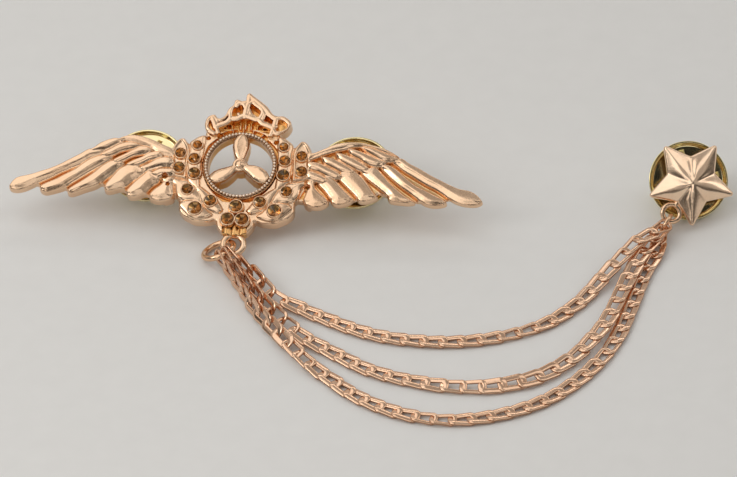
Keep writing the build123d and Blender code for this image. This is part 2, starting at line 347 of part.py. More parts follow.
# ---- pin posts -------------------------------------------------------------------------------
def make_post(plane, back, name):
    """Round nail post with a grip groove and a point, brazed to the flat back."""
    side = Plane(origin=plane.origin, x_dir=plane.x_dir, z_dir=-plane.y_dir)
    with BuildPart() as post:
        with BuildSketch(side):
            with BuildLine():
                Polyline((0, back), (0.95, back), (0.95, back - 0.12), (POST_R, back - 0.32),
                         (POST_R, -4.60), (GROOVE_R, -4.72), (GROOVE_R, -5.78), (POST_R, -5.90),
                         (POST_R, POST_TIP + 0.95), (0.10, POST_TIP), (0, POST_TIP), close=True)
            make_face()
        revolve(axis=Axis(plane.origin, plane.z_dir))
    post.part.label = name
    export_step(post.part, "parts/" + name + ".step")


make_post(on(face, *POSTS["left"]), BACK, "left_post")
make_post(on(face, *POSTS["right"]), BACK, "right_post")
make_post(on(star_face, *STAR_POST), STAR_BACK, "star_post")


# ---- butterfly clutches --------------------------------------------------------------------------
# each dish sits turned at its own angle on its post
TOOTH_TURN = {"left": 71, "right": 25, "star": 95}


def make_clutch(plane, side_name):
    side = Plane(origin=plane.origin, x_dir=plane.x_dir, z_dir=-plane.y_dir)   # (a, n) section
    edge = Plane(origin=plane.origin, x_dir=plane.y_dir, z_dir=plane.x_dir)    # (b, n) section

    # pressed dish with four punched teeth that bite the cloth
    with BuildPart(plane) as cup:
        ri = CUP_R - CUP_WALL
        ei = CUP_EDGE - CUP_WALL
        with BuildSketch(side):
            with BuildLine():
                Line((CUP_HOLE, CUP_BOTTOM), (CUP_R - CUP_EDGE, CUP_BOTTOM))
                RadiusArc((CUP_R - CUP_EDGE, CUP_BOTTOM), (CUP_R, CUP_BOTTOM + CUP_EDGE), -CUP_EDGE)
                Line((CUP_R, CUP_BOTTOM + CUP_EDGE), (CUP_R, CUP_TOP))
                Line((CUP_R, CUP_TOP), (ri, CUP_TOP))
                Line((ri, CUP_TOP), (ri, CUP_BOTTOM + CUP_EDGE))
                RadiusArc((ri, CUP_BOTTOM + CUP_EDGE), (ri - ei, CUP_BOTTOM + CUP_WALL), ei)
                Line((ri - ei, CUP_BOTTOM + CUP_WALL), (CUP_HOLE, CUP_BOTTOM + CUP_WALL))
                Line((CUP_HOLE, CUP_BOTTOM + CUP_WALL), (CUP_HOLE, CUP_BOTTOM))
            make_face()
        revolve(axis=Axis(plane.origin, plane.z_dir))
        for k in range(4):
            ang = radians(TOOTH_TURN[side_name] + 90 * k)
            with BuildSketch(on(plane, TOOTH_R * cos(ang), TOOTH_R * sin(ang), CUP_BOTTOM + CUP_WALL - 0.05)):
                Rectangle(TOOTH_W, TOOTH_W, rotation=TOOTH_TURN[side_name] + 90 * k + 45)
            extrude(amount=TOOTH_H + 0.05, taper=27)
    cup.part.label = side_name + "_clutch_cup"
    export_step(cup.part, "parts/" + side_name + "_clutch_cup.step")

    # bracket: a base plate with two cheeks that carry the wings
    with BuildPart(plane) as bracket:
        with Locations((0, 0, CUP_BOTTOM - 0.15)):
            Box(4.2, 2 * CHEEK_OUT, 0.30)
        for sgn in (-1, 1):
            with Locations((0, sgn * (CHEEK_IN + CHEEK_OUT) / 2, CUP_BOTTOM - 0.875)):
                Box(4.2, CHEEK_OUT - CHEEK_IN, 1.75)
        fillet(bracket.edges().filter_by(Axis(plane.origin, plane.y_dir)).sort_by(Axis(plane.origin, plane.z_dir))[:4], 0.6)
        with Locations((0, 0, CUP_BOTTOM - 0.15)):
            Cylinder(CUP_HOLE + 0.02, 0.6, mode=Mode.SUBTRACT)
        with BuildSketch(Plane(origin=on(plane, 0, -3, 0).origin, x_dir=plane.x_dir, z_dir=plane.y_dir)):
            with Locations((PIVOT_A, -PIVOT_N), (-PIVOT_A, -PIVOT_N)):
                Circle(TRUNNION_HOLE)
        extrude(amount=6, mode=Mode.SUBTRACT)
    bracket.part.label = side_name + "_clutch_bracket"
    export_step(bracket.part, "parts/" + side_name + "_clutch_bracket.step")

    # grip spring: a three-sided wire that lies between the cheeks, around the post
    with BuildPart() as spring:
        with BuildLine(plane.offset(-5.76)) as wire:
            FilletPolyline((-1.10, CHEEK_IN - SPRING_WIRE), (1.00, CHEEK_IN - SPRING_WIRE),
                           (1.00, -CHEEK_IN + SPRING_WIRE), (-1.10, -CHEEK_IN + SPRING_WIRE), radius=0.55)
        with BuildSketch(Plane(origin=wire.line @ 0, z_dir=wire.line % 0)):
            Circle(SPRING_WIRE)
        sweep(path=wire.line)
    spring.part.label = side_name + "_clutch_spring"
    export_step(spring.part, "parts/" + side_name + "_clutch_spring.step")

    # the two squeeze wings, each a bent tab on two trunnions
    for letter, sgn in (("a", 1), ("b", -1)):
        h = WING_T / 2
        with BuildPart(plane) as wing:
            with BuildSketch(side):
                with BuildLine():
                    Polyline(*[(sgn * x, y) for x, y in
                               ((0.15, PIVOT_N + h), (1.55, PIVOT_N + h), (2.42, -5.70), (4.12, -9.03),
                                (3.86, -9.16), (2.16, -5.84), (1.45, PIVOT_N - h), (0.15, PIVOT_N - h))], close=True)
                make_face()
            extrude(amount=WING_W / 2, both=True)
            # rounded tip
            with BuildSketch(edge.offset(sgn * 3.0)):
                with Locations((0, TIP_CENTRE_N)):
                    Circle(TIP_R)
                with Locations((0, TIP_CENTRE_N / 2 - 2.0)):
                    Rectangle(2 * TIP_R, -TIP_CENTRE_N - 4.0)
            extrude(amount=3.5, both=True, mode=Mode.INTERSECT)
            with BuildSketch(Plane(origin=on(plane, 0, -CHEEK_OUT, 0).origin, x_dir=plane.x_dir, z_dir=plane.y_dir)):
                with Locations((sgn * PIVOT_A, -PIVOT_N)):
                    Circle(TRUNNION_R)
            extrude(amount=2 * CHEEK_OUT)
            with Locations((0, 0, PIVOT_N)):
                Cylinder(0.64, 1.2, mode=Mode.SUBTRACT)
        wing.part.label = side_name + "_clutch_wing_" + letter
        export_step(wing.part, "parts/" + side_name + "_clutch_wing_" + letter + ".step")


make_clutch(on(face, *POSTS["left"]), "left")
make_clutch(on(face, *POSTS["right"]), "right")
make_clutch(on(star_face, *STAR_POST), "star")

# ---- rings -------------------------------------------------------------------------------------
with BuildPart(Plane(origin=JUMP_C, z_dir=JUMP_N)) as jump_ring:
    Torus(JUMP_R, JUMP_WIRE)
jump_ring.part.label = "jump_ring"
export_step(jump_ring.part, "parts/jump_ring.step")

with BuildPart(Plane(origin=SRING_C, z_dir=SRING_N)) as star_ring:
    Torus(SRING_R, SRING_WIRE)
star_ring.part.label = "star_ring"
export_step(star_ring.part, "parts/star_ring.step")

# ---- chain links -------------------------------------------------------------------------------
# One link: a skewed rounded rectangle of round wire, its two high points rolled flat.
with BuildPart() as half_link:
    with BuildLine() as half_loop:
        FilletPolyline((0, LINK_B, 0), (-LINK_A, LINK_B, -LINK_H), (-LINK_A, -LINK_B, LINK_H), (0, -LINK_B, 0),
                       radius=LINK_CORNER)
    with BuildSketch(Plane(origin=half_loop.line @ 0, z_dir=half_loop.line % 0)):
        Circle(LINK_WIRE / 2)
    sweep(path=half_loop.line)
with BuildPart() as link:
    add(half_link.part)
    add(half_link.part, rotation=(0, 0, 180))
    Box(6, 6, 2 * LINK_FLAT, mode=Mode.INTERSECT)
print("link volume", round(link.part.volume, 3), "solids", len(link.part.solids()))

CUTS = {"inner": [4, 18, 26], "middle": [6, 17, 28], "outer": [9, 18, 29]}
for chain_name, rows in (("inner", INNER_LINKS), ("middle", MIDDLE_LINKS), ("outer", OUTER_LINKS)):
    bounds = [0] + CUTS[chain_name] + [len(rows)]
    for k in range(4):
        places = [Plane(origin=v[0:3], x_dir=v[3:6], z_dir=v[6:9]).location for v in rows[bounds[k]:bounds[k + 1]]]
        with BuildPart() as chain:
            with Locations(*places):
                add(link.part)
        node = chain_name + "_chain_" + str(k + 1)
        chain.part.label = node
        export_step(chain.part, "parts/" + node + ".step")
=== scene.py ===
import math
import bpy, bmesh
import numpy as np
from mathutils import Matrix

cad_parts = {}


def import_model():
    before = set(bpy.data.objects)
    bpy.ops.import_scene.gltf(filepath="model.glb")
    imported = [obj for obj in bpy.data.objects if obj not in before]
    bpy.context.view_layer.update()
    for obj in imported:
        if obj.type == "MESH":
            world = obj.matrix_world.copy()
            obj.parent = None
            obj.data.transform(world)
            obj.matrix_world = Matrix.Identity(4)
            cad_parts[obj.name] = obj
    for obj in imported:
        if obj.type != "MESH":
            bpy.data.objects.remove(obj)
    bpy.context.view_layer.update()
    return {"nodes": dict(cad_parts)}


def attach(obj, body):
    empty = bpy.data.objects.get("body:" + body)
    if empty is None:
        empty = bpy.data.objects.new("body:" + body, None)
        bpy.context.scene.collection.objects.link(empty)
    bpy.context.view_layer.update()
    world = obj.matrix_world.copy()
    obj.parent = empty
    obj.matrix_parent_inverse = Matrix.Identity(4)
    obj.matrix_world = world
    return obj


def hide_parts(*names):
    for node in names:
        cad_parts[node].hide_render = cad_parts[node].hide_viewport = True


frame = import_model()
import openvdb as vdb
from mathutils import Vector, Matrix

MM = 0.001
cos, sin, pi, rad = math.cos, math.sin, math.pi, math.radians

# ------------------------------------------------------------------ frames (same numbers as the CAD, in mm)
FACE_O = np.array((-18.823, 17.422, 7.98))
t = rad(24.0)
FACE = (FACE_O, np.array((1.0, 0, 0)), np.array((0, cos(t), sin(t))), np.array((0, -sin(t), cos(t))))
STAR_O = np.array((46.1835, 19.2084, 6.4960))
ta, ts = rad(15.0), rad(46.7)
sx_ = np.array((cos(ta), sin(ta), 0))
sy_ = np.array((-sin(ta) * cos(ts), cos(ta) * cos(ts), sin(ts)))
STAR = (STAR_O, sx_, sy_, np.cross(sx_, sy_))
POSTS = {"left": (FACE, -13.95, 1.03), "right": (FACE, 16.19, 1.03), "star": (STAR, -0.10, 0.3366)}
BACK = -2.20


def shifted(fr, a, b, n=0.0):
    o, x, y, z = fr
    return (o + a * x + b * y + n * z, x, y, z)


def plane(o, z, xh=(1, 0, 0)):
    z = np.array(z, float); z /= np.linalg.norm(z)
    x = np.array(xh, float); x -= z * np.dot(x, z)
    if np.linalg.norm(x) < 1e-6:
        x = np.array((0, 1.0, 0)) - z * z[1]
    x /= np.linalg.norm(x)
    return (np.array(o, float), x, np.cross(z, x), z)


def world(fr, P):
    """Local points (mm) to world metres."""
    P = np.asarray(P, float)
    o, x, y, z = fr
    return (o + P[..., 0:1] * x + P[..., 1:2] * y + P[..., 2:3] * z) * MM


# ------------------------------------------------------------------ outlines on the face, mm (a, b)
LEFT_FLIGHT = [
    [(-21.99, 1.93), (-23.36, 1.08), (-24.74, 0.22), (-26.11, -0.63), (-27.50, -1.33), (-28.91, -1.87), (-30.31, -2.40), (-31.72, -2.78), (-32.42, -3.13), (-32.94, -3.79), (-33.18, -4.44), (-32.85, -4.90), (-31.97, -5.03), (-30.84, -4.74), (-29.73, -4.14), (-28.77, -3.54), (-27.38, -2.84), (-26.00, -1.99), (-24.61, -1.29), (-22.53, -0.25), (-21.57, 0.43), (-19.89, 1.06), (-19.97, 2.02)],
    [(-21.56, 0.35), (-22.52, -0.33), (-23.87, -1.50), (-25.25, -2.36), (-26.62, -3.21), (-28.01, -3.91), (-28.69, -4.41), (-28.50, -4.97), (-27.75, -5.26), (-26.62, -4.97), (-25.22, -4.43), (-24.40, -3.76), (-23.04, -2.74), (-21.68, -1.73), (-19.77, -0.37), (-18.68, 0.47), (-19.87, 0.90)],
    [(-19.61, -0.53), (-20.94, -1.86), (-22.29, -3.03), (-23.66, -4.05), (-24.47, -4.72), (-24.57, -5.21), (-23.84, -5.34), (-22.16, -4.63), (-20.48, -3.92), (-19.41, -2.92), (-18.46, -2.08), (-17.67, -1.25), (-16.87, -0.41), (-18.07, 0.18)],
    [(-17.24, -1.15), (-18.28, -2.55), (-19.18, -3.87), (-19.27, -4.51), (-18.67, -4.80), (-17.40, -4.43), (-16.28, -3.91), (-15.35, -2.91), (-13.98, -2.06), (-14.05, -1.26), (-15.42, -0.36)],
    [(-13.83, -2.05), (-14.76, -3.05), (-15.68, -4.20), (-16.06, -4.86), (-15.72, -5.48), (-14.70, -5.52), (-13.45, -4.91), (-12.53, -3.75), (-11.59, -2.92), (-11.80, -2.13), (-13.02, -1.38)],
    [(-10.97, -3.37), (-12.05, -4.37), (-12.69, -5.36), (-12.36, -5.83), (-11.18, -6.10), (-9.76, -5.72), (-9.22, -5.22), (-9.45, -4.27), (-9.53, -3.31), (-9.47, -2.35), (-10.91, -2.41)],
]
LEFT_COVERTS = [
    [(-18.07, 3.53), (-16.39, 4.24), (-14.20, 4.01), (-11.95, 3.14), (-9.98, 2.10), (-9.76, 1.15), (-11.81, 1.39), (-13.33, 2.29), (-14.83, 2.87), (-17.04, 3.42)],
    [(-21.82, 1.62), (-21.55, 1.87), (-20.61, 2.79), (-19.22, 3.49), (-18.23, 3.69), (-17.04, 3.34), (-17.73, 2.91), (-18.83, 2.22), (-19.80, 1.70), (-21.37, 1.48)],
    [(-20.03, 1.06), (-18.80, 1.90), (-17.70, 2.59), (-16.28, 2.97), (-14.96, 2.70), (-14.93, 2.38), (-17.33, 1.65), (-18.57, 0.95), (-19.71, 0.67)],
    [(-18.22, 0.17), (-16.84, 1.03), (-15.47, 1.88), (-14.50, 2.40), (-13.32, 2.13), (-13.26, 1.49), (-14.26, 1.29), (-15.68, 0.91), (-16.78, 0.23), (-18.03, -0.30)],
    [(-16.28, -0.55), (-15.32, 0.13), (-14.21, 0.65), (-13.25, 1.33), (-11.96, 1.54), (-11.48, 0.92), (-13.17, 0.38), (-14.27, -0.31), (-15.53, -0.76)],
    [(-14.35, -1.03), (-13.12, -0.26), (-12.16, 0.42), (-11.03, 0.78), (-9.85, 0.51), (-9.77, -0.44), (-11.20, -0.66), (-12.33, -1.03), (-13.60, -1.40)],
    [(-12.54, -1.92), (-11.87, -1.33), (-10.87, -1.13), (-9.56, -1.24), (-9.51, -1.87), (-11.08, -2.10), (-11.78, -2.37)],
]
RIGHT_FLIGHT = [
    [(21.76, 1.64), (22.69, 0.88), (23.78, 0.05), (25.30, -0.85), (26.82, -1.75), (28.33, -2.49), (29.55, -3.24), (30.48, -3.92), (31.54, -4.51), (32.87, -4.86), (34.32, -4.88), (35.16, -4.53), (35.27, -4.04), (34.47, -3.11), (33.40, -2.52), (31.93, -2.26), (30.44, -1.68), (28.93, -0.94), (27.42, -0.20), (25.89, 0.69), (24.38, 1.43), (23.16, 2.18)],
    [(20.25, 0.62), (21.69, -0.92), (23.25, -2.29), (24.79, -3.35), (26.02, -4.26), (27.10, -5.01), (28.57, -5.27), (29.99, -4.98), (30.09, -4.41), (28.72, -3.67), (26.91, -2.78), (25.40, -2.05), (23.85, -0.83), (22.44, 0.39), (21.24, 0.98)],
    [(17.43, -0.29), (18.85, -1.67), (20.40, -2.89), (21.49, -3.80), (22.01, -4.74), (23.48, -5.00), (24.93, -5.02), (25.63, -4.75), (24.56, -4.16), (23.33, -3.25), (21.77, -1.87), (20.65, -0.64), (19.54, 0.43), (18.12, 0.21)],
    [(14.18, -1.22), (15.62, -2.77), (16.88, -3.99), (17.53, -4.93), (18.41, -5.05), (19.54, -4.68), (20.22, -4.18), (19.43, -3.41), (18.45, -2.01), (17.33, -0.78), (16.11, -0.03), (14.71, -0.56)],
    [(11.36, -2.14), (12.49, -3.53), (13.31, -4.62), (13.67, -5.40), (14.56, -5.77), (15.84, -5.47), (16.66, -4.80), (16.17, -4.18), (15.06, -3.11), (13.95, -1.87), (12.73, -1.12)],
    [(9.92, -2.20), (10.03, -3.47), (9.82, -4.44), (9.61, -5.41), (10.24, -6.02), (11.28, -6.30), (12.42, -6.09), (13.23, -5.42), (12.89, -4.80), (11.80, -3.88), (11.00, -2.95), (10.76, -1.84)],
]
RIGHT_COVERTS = [
    [(9.55, 2.26), (10.54, 2.46), (11.93, 3.16), (13.32, 3.86), (14.74, 4.23), (16.90, 4.32), (19.11, 3.93), (20.59, 3.51), (22.10, 2.78), (22.87, 2.17), (21.39, 2.59), (19.45, 3.31), (18.41, 3.58), (17.24, 3.70), (15.81, 3.48), (14.83, 3.12), (13.42, 2.74), (12.01, 2.20), (10.62, 1.51), (9.64, 1.15)],
    [(17.26, 3.54), (18.42, 3.50), (19.90, 3.09), (21.40, 2.51), (22.59, 2.08), (22.34, 1.59), (20.76, 1.44), (19.56, 2.03), (18.03, 2.93)],
    [(15.55, 3.15), (16.72, 3.04), (18.22, 2.46), (19.72, 1.80), (20.91, 1.37), (20.67, 0.80), (19.68, 0.60), (18.20, 0.94), (17.13, 1.61), (15.76, 2.36)],
    [(13.73, 2.43), (14.90, 2.32), (16.55, 1.59), (17.77, 0.84), (18.55, 0.23), (18.16, -0.26), (16.83, 0.00), (15.48, 0.59), (14.10, 1.49)],
    [(11.76, 1.71), (13.22, 1.61), (14.73, 0.88), (15.79, 0.28), (16.57, -0.33), (16.18, -0.82), (14.71, -0.56), (13.50, 0.03), (12.13, 0.77)],
    [(9.81, 0.83), (11.41, 0.74), (12.92, 0.00), (14.13, -0.59), (14.76, -1.20), (14.22, -1.62), (12.74, -1.28), (11.23, -0.55), (9.89, -0.12)],
    [(9.79, -0.61), (11.11, -0.87), (12.32, -1.46), (12.95, -2.07), (12.40, -2.42), (11.22, -2.15), (9.88, -1.72)],
]
CROWN = [(-4.11, 4.58), (-5.03, 5.18), (-5.51, 5.65), (-5.72, 6.44), (-5.38, 7.57), (-4.40, 8.01), (-3.92, 7.47), (-3.34, 7.49), (-2.81, 7.99), (-2.45, 8.97), (-1.79, 9.63), (-1.70, 10.28), (-1.28, 10.53), (-0.54, 10.32), (-0.18, 11.14), (0.36, 11.64), (0.98, 11.19), (2.21, 10.28), (3.15, 9.52), (3.96, 8.43), (4.72, 8.06), (5.73, 8.10), (6.65, 7.42), (6.85, 6.79), (6.35, 5.81), (5.40, 5.13), (4.41, 4.77)]
LEFT_PLATE = [(-33.03, -4.45), (-32.70, -3.60), (-31.72, -2.95), (-30.31, -2.55), (-28.91, -2.02),
              (-27.50, -1.48), (-26.11, -0.78), (-24.74, 0.07), (-23.36, 0.93), (-21.99, 1.78),
              (-21.00, 2.40), (-20.20, 2.85), (-19.20, 3.30), (-17.90, 3.65), (-16.39, 4.05),
              (-14.20, 3.85), (-11.95, 3.00), (-9.00, 2.00), (-8.00, 0.00), (-8.00, -4.50),
              (-8.96, -4.85), (-9.64, -5.35), (-10.60, -6.00), (-12.08, -5.60), (-13.14, -5.00),
              (-14.28, -5.20), (-15.45, -5.10), (-16.37, -4.50), (-17.40, -4.30), (-19.01, -4.12),
              (-19.78, -3.50), (-20.90, -4.05), (-23.01, -4.76), (-24.15, -4.88), (-25.21, -4.36),
              (-26.19, -4.72), (-27.34, -4.93), (-28.23, -4.65), (-29.01, -3.95), (-29.87, -4.00),
              (-31.00, -4.45), (-32.43, -4.68)]
RIGHT_PLATE = [(35.05, -4.30), (34.40, -3.30), (33.40, -2.70), (31.93, -2.42), (30.44, -1.84),
               (28.93, -1.10), (27.42, -0.36), (25.89, 0.53), (24.38, 1.28), (22.90, 2.05),
               (22.10, 2.65), (20.59, 3.36), (19.11, 3.78), (16.90, 4.16), (14.74, 4.06),
               (13.32, 3.70), (11.93, 3.00), (10.54, 2.30), (9.00, 2.00), (8.00, 0.00),
               (8.00, -4.50), (9.30, -5.06), (10.06, -5.50), (11.11, -5.92), (12.11, -5.72),
               (12.92, -5.05), (13.34, -4.88), (14.38, -5.15), (15.66, -4.93), (16.61, -4.10),
               (17.18, -4.08), (18.22, -4.35), (19.36, -4.14), (20.03, -3.50), (20.46, -3.47),
               (21.81, -4.05), (23.30, -4.47), (25.48, -4.62), (27.66, -4.68), (29.11, -4.78),
               (30.08, -4.19), (31.22, -3.99), (32.70, -4.41), (34.58, -4.40)]
WREATH_HALF = [(4.6, 5.6), (5.4, 4.6), (6.0, 4.3), (6.9, 4.1), (7.4, 3.4), (7.9, 3.6), (8.6, 3.7),
               (9.3, 3.0), (9.7, 2.0), (9.9, 0.5), (9.8, -1.5), (9.5, -2.8), (8.8, -4.35),
               (8.35, -5.2), (8.35, -7.0), (7.7, -8.0), (6.8, -8.55), (5.7, -9.0), (3.9, -8.95),
               (2.9, -8.7), (2.6, -9.6), (1.9, -10.5), (1.2, -10.9), (0.0, -11.0)]
INNER_LINKS = [
    (-18.688, 4.300, 1.822, 0.7349, -0.6344, -0.2396, -0.6519, -0.7583, 0.0083),
    (-16.785, 2.465, 1.635, 0.6879, -0.7168, -0.1140, -0.6987, -0.6965, 0.1634),
    (-14.795, 0.563, 1.395, 0.6623, -0.7457, -0.0719, -0.6236, -0.6020, 0.4987),
    (-13.159, -1.637, 1.244, 0.6315, -0.7729, -0.0619, -0.4235, -0.4106, 0.8075),
    (-11.311, -3.641, 1.049, 0.8154, -0.5608, -0.1433, -0.0337, -0.2932, 0.9554),
    (-8.771, -4.595, 0.686, 0.9159, -0.3861, -0.1098, 0.0807, -0.0908, 0.9926),
    (-6.330, -5.879, 0.538, 0.8990, -0.4348, -0.0535, 0.0470, -0.0257, 0.9986),
    (-3.858, -7.026, 0.436, 0.8943, -0.4474, -0.0026, 0.0023, -0.0011, 1.0000),
    (-1.401, -8.250, 0.440, 0.9081, -0.4187, 0.0007, -0.0006, 0.0003, 1.0000),
    (1.126, -9.324, 0.440, 0.9369, -0.3497, 0.0000, -0.0000, 0.0000, 1.0000),
    (3.739, -10.168, 0.440, 0.9677, -0.2523, 0.0000, -0.0000, 0.0000, 1.0000),
    (6.431, -10.707, 0.440, 0.9888, -0.1489, -0.0000, 0.0000, -0.0000, 1.0000),
    (9.162, -10.985, 0.440, 0.9974, -0.0717, -0.0000, 0.0000, -0.0000, 1.0000),
    (11.905, -11.100, 0.440, 1.0000, 0.0060, 0.0000, 0.0000, 0.0000, 1.0000),
    (14.647, -10.952, 0.440, 0.9947, 0.1029, 0.0000, 0.0000, 0.0000, 1.0000),
    (17.360, -10.535, 0.440, 0.9800, 0.1990, 0.0000, -0.0000, -0.0000, 1.0000),
    (20.022, -9.860, 0.440, 0.9570, 0.2899, 0.0000, 0.0000, 0.0000, 1.0000),
    (22.610, -8.945, 0.440, 0.9238, 0.3828, -0.0000, 0.0000, 0.0000, 1.0000),
    (25.087, -7.761, 0.440, 0.8715, 0.4904, 0.0000, 0.0000, 0.0000, 1.0000),
    (27.385, -6.258, 0.440, 0.7869, 0.6171, 0.0000, 0.0000, 0.0000, 1.0000),
    (29.392, -4.385, 0.440, 0.6722, 0.7404, -0.0023, 0.0015, 0.0017, 1.0000),
    (31.086, -2.234, 0.488, 0.6345, 0.7729, -0.0114, -0.0204, 0.0314, 0.9993),
    (32.619, 0.062, 0.551, 0.5277, 0.8461, 0.0746, -0.0387, -0.0638, 0.9972),
    (33.963, 2.432, 0.838, 0.5136, 0.8437, 0.1564, -0.0813, -0.1336, 0.9877),
    (35.399, 4.703, 1.402, 0.5453, 0.8134, 0.2025, -0.1128, -0.1682, 0.9793),
    (36.910, 6.967, 1.939, 0.5499, 0.8139, 0.1878, -0.1121, -0.1509, 0.9822),
    (38.406, 9.296, 2.359, 0.5814, 0.7941, 0.1771, -0.1395, -0.1171, 0.9833),
    (40.220, 11.256, 2.588, 0.7083, 0.7042, -0.0498, -0.0003, 0.0708, 0.9975),
    (42.011, 13.333, 2.425, 0.6904, 0.7215, -0.0522, 0.0137, 0.0591, 0.9982),
]
MIDDLE_LINKS = [
    (-19.183, 3.611, 2.054, 0.5926, -0.7883, -0.1656, -0.7994, -0.6007, -0.0009),
    (-17.573, 1.462, 1.569, 0.5936, -0.7975, -0.1084, -0.8009, -0.5985, 0.0173),
    (-15.916, -0.765, 1.363, 0.5814, -0.8124, -0.0449, -0.8060, -0.5826, 0.1044),
    (-14.338, -3.058, 1.319, 0.5871, -0.8091, -0.0237, -0.7452, -0.5517, 0.3745),
    (-12.641, -5.275, 1.274, 0.6572, -0.7537, 0.0066, -0.5731, -0.4940, 0.6538),
    (-10.796, -7.344, 1.153, 0.6707, -0.7412, -0.0286, -0.3311, -0.3337, 0.8826),
    (-8.915, -9.394, 1.071, 0.6901, -0.7227, -0.0383, -0.1245, -0.1707, 0.9774),
    (-6.961, -11.373, 0.950, 0.7905, -0.6048, -0.0964, 0.0515, -0.0912, 0.9945),
    (-4.604, -12.831, 0.647, 0.8588, -0.5067, -0.0753, 0.0640, -0.0396, 0.9972),
    (-2.215, -14.259, 0.481, 0.8459, -0.5330, -0.0186, 0.0103, -0.0187, 0.9998),
    (0.117, -15.750, 0.439, 0.8424, -0.5388, -0.0003, 0.0003, -0.0002, 1.0000),
    (2.483, -17.218, 0.440, 0.8804, -0.4743, 0.0002, -0.0002, 0.0001, 1.0000),
    (5.044, -18.313, 0.441, 0.9298, -0.3680, -0.0072, 0.0078, 0.0001, 1.0000),
    (7.685, -19.215, 0.444, 0.9641, -0.2655, -0.0015, 0.0016, 0.0000, 1.0000),
    (10.404, -19.853, 0.484, 0.9734, -0.2273, 0.0275, -0.0387, -0.0450, 0.9982),
    (13.084, -20.480, 0.581, 0.9840, -0.1734, 0.0417, -0.0649, -0.1299, 0.9894),
    (15.844, -20.828, 0.664, 0.9973, -0.0687, 0.0277, -0.0414, -0.2056, 0.9778),
    (18.626, -20.862, 0.735, 0.9989, 0.0402, 0.0258, -0.0137, -0.2764, 0.9609),
    (21.397, -20.604, 0.808, 0.9838, 0.1772, 0.0256, 0.0370, -0.3409, 0.9394),
    (24.083, -19.879, 0.877, 0.9498, 0.3122, 0.0189, 0.1004, -0.3613, 0.9270),
    (26.677, -18.869, 0.913, 0.8785, 0.4777, 0.0010, 0.1626, -0.3009, 0.9397),
    (28.935, -17.241, 0.883, 0.7520, 0.6589, -0.0206, 0.1855, -0.1815, 0.9657),
    (30.844, -15.218, 0.798, 0.6601, 0.7511, -0.0126, 0.1386, -0.1053, 0.9847),
    (32.607, -13.063, 0.813, 0.5737, 0.8177, 0.0468, 0.0446, -0.0882, 0.9951),
    (34.026, -10.682, 1.058, 0.5012, 0.8608, 0.0883, -0.0444, -0.0763, 0.9961),
    (35.397, -8.272, 1.304, 0.4226, 0.9042, 0.0618, -0.0262, -0.0559, 0.9981),
    (36.371, -5.666, 1.401, 0.2919, 0.9563, 0.0155, -0.0045, -0.0148, 0.9999),
    (37.018, -2.959, 1.390, 0.2137, 0.9769, -0.0019, 0.0004, 0.0018, 1.0000),
    (37.560, -0.228, 1.390, 0.2100, 0.9777, -0.0006, 0.0001, 0.0006, 1.0000),
    (38.165, 2.491, 1.389, 0.2212, 0.9752, 0.0038, 0.0023, -0.0045, 1.0000),
    (38.862, 5.201, 1.408, 0.2510, 0.9669, 0.0465, -0.0268, -0.0411, 0.9988),
    (39.541, 7.876, 1.569, 0.3358, 0.9411, 0.0405, -0.0136, -0.0382, 0.9992),
    (40.644, 10.431, 1.638, 0.4057, 0.9138, 0.0204, -0.0083, -0.0187, 0.9998),
    (41.800, 12.963, 1.682, 0.4129, 0.9097, 0.0438, -0.0181, -0.0399, 0.9990),
]
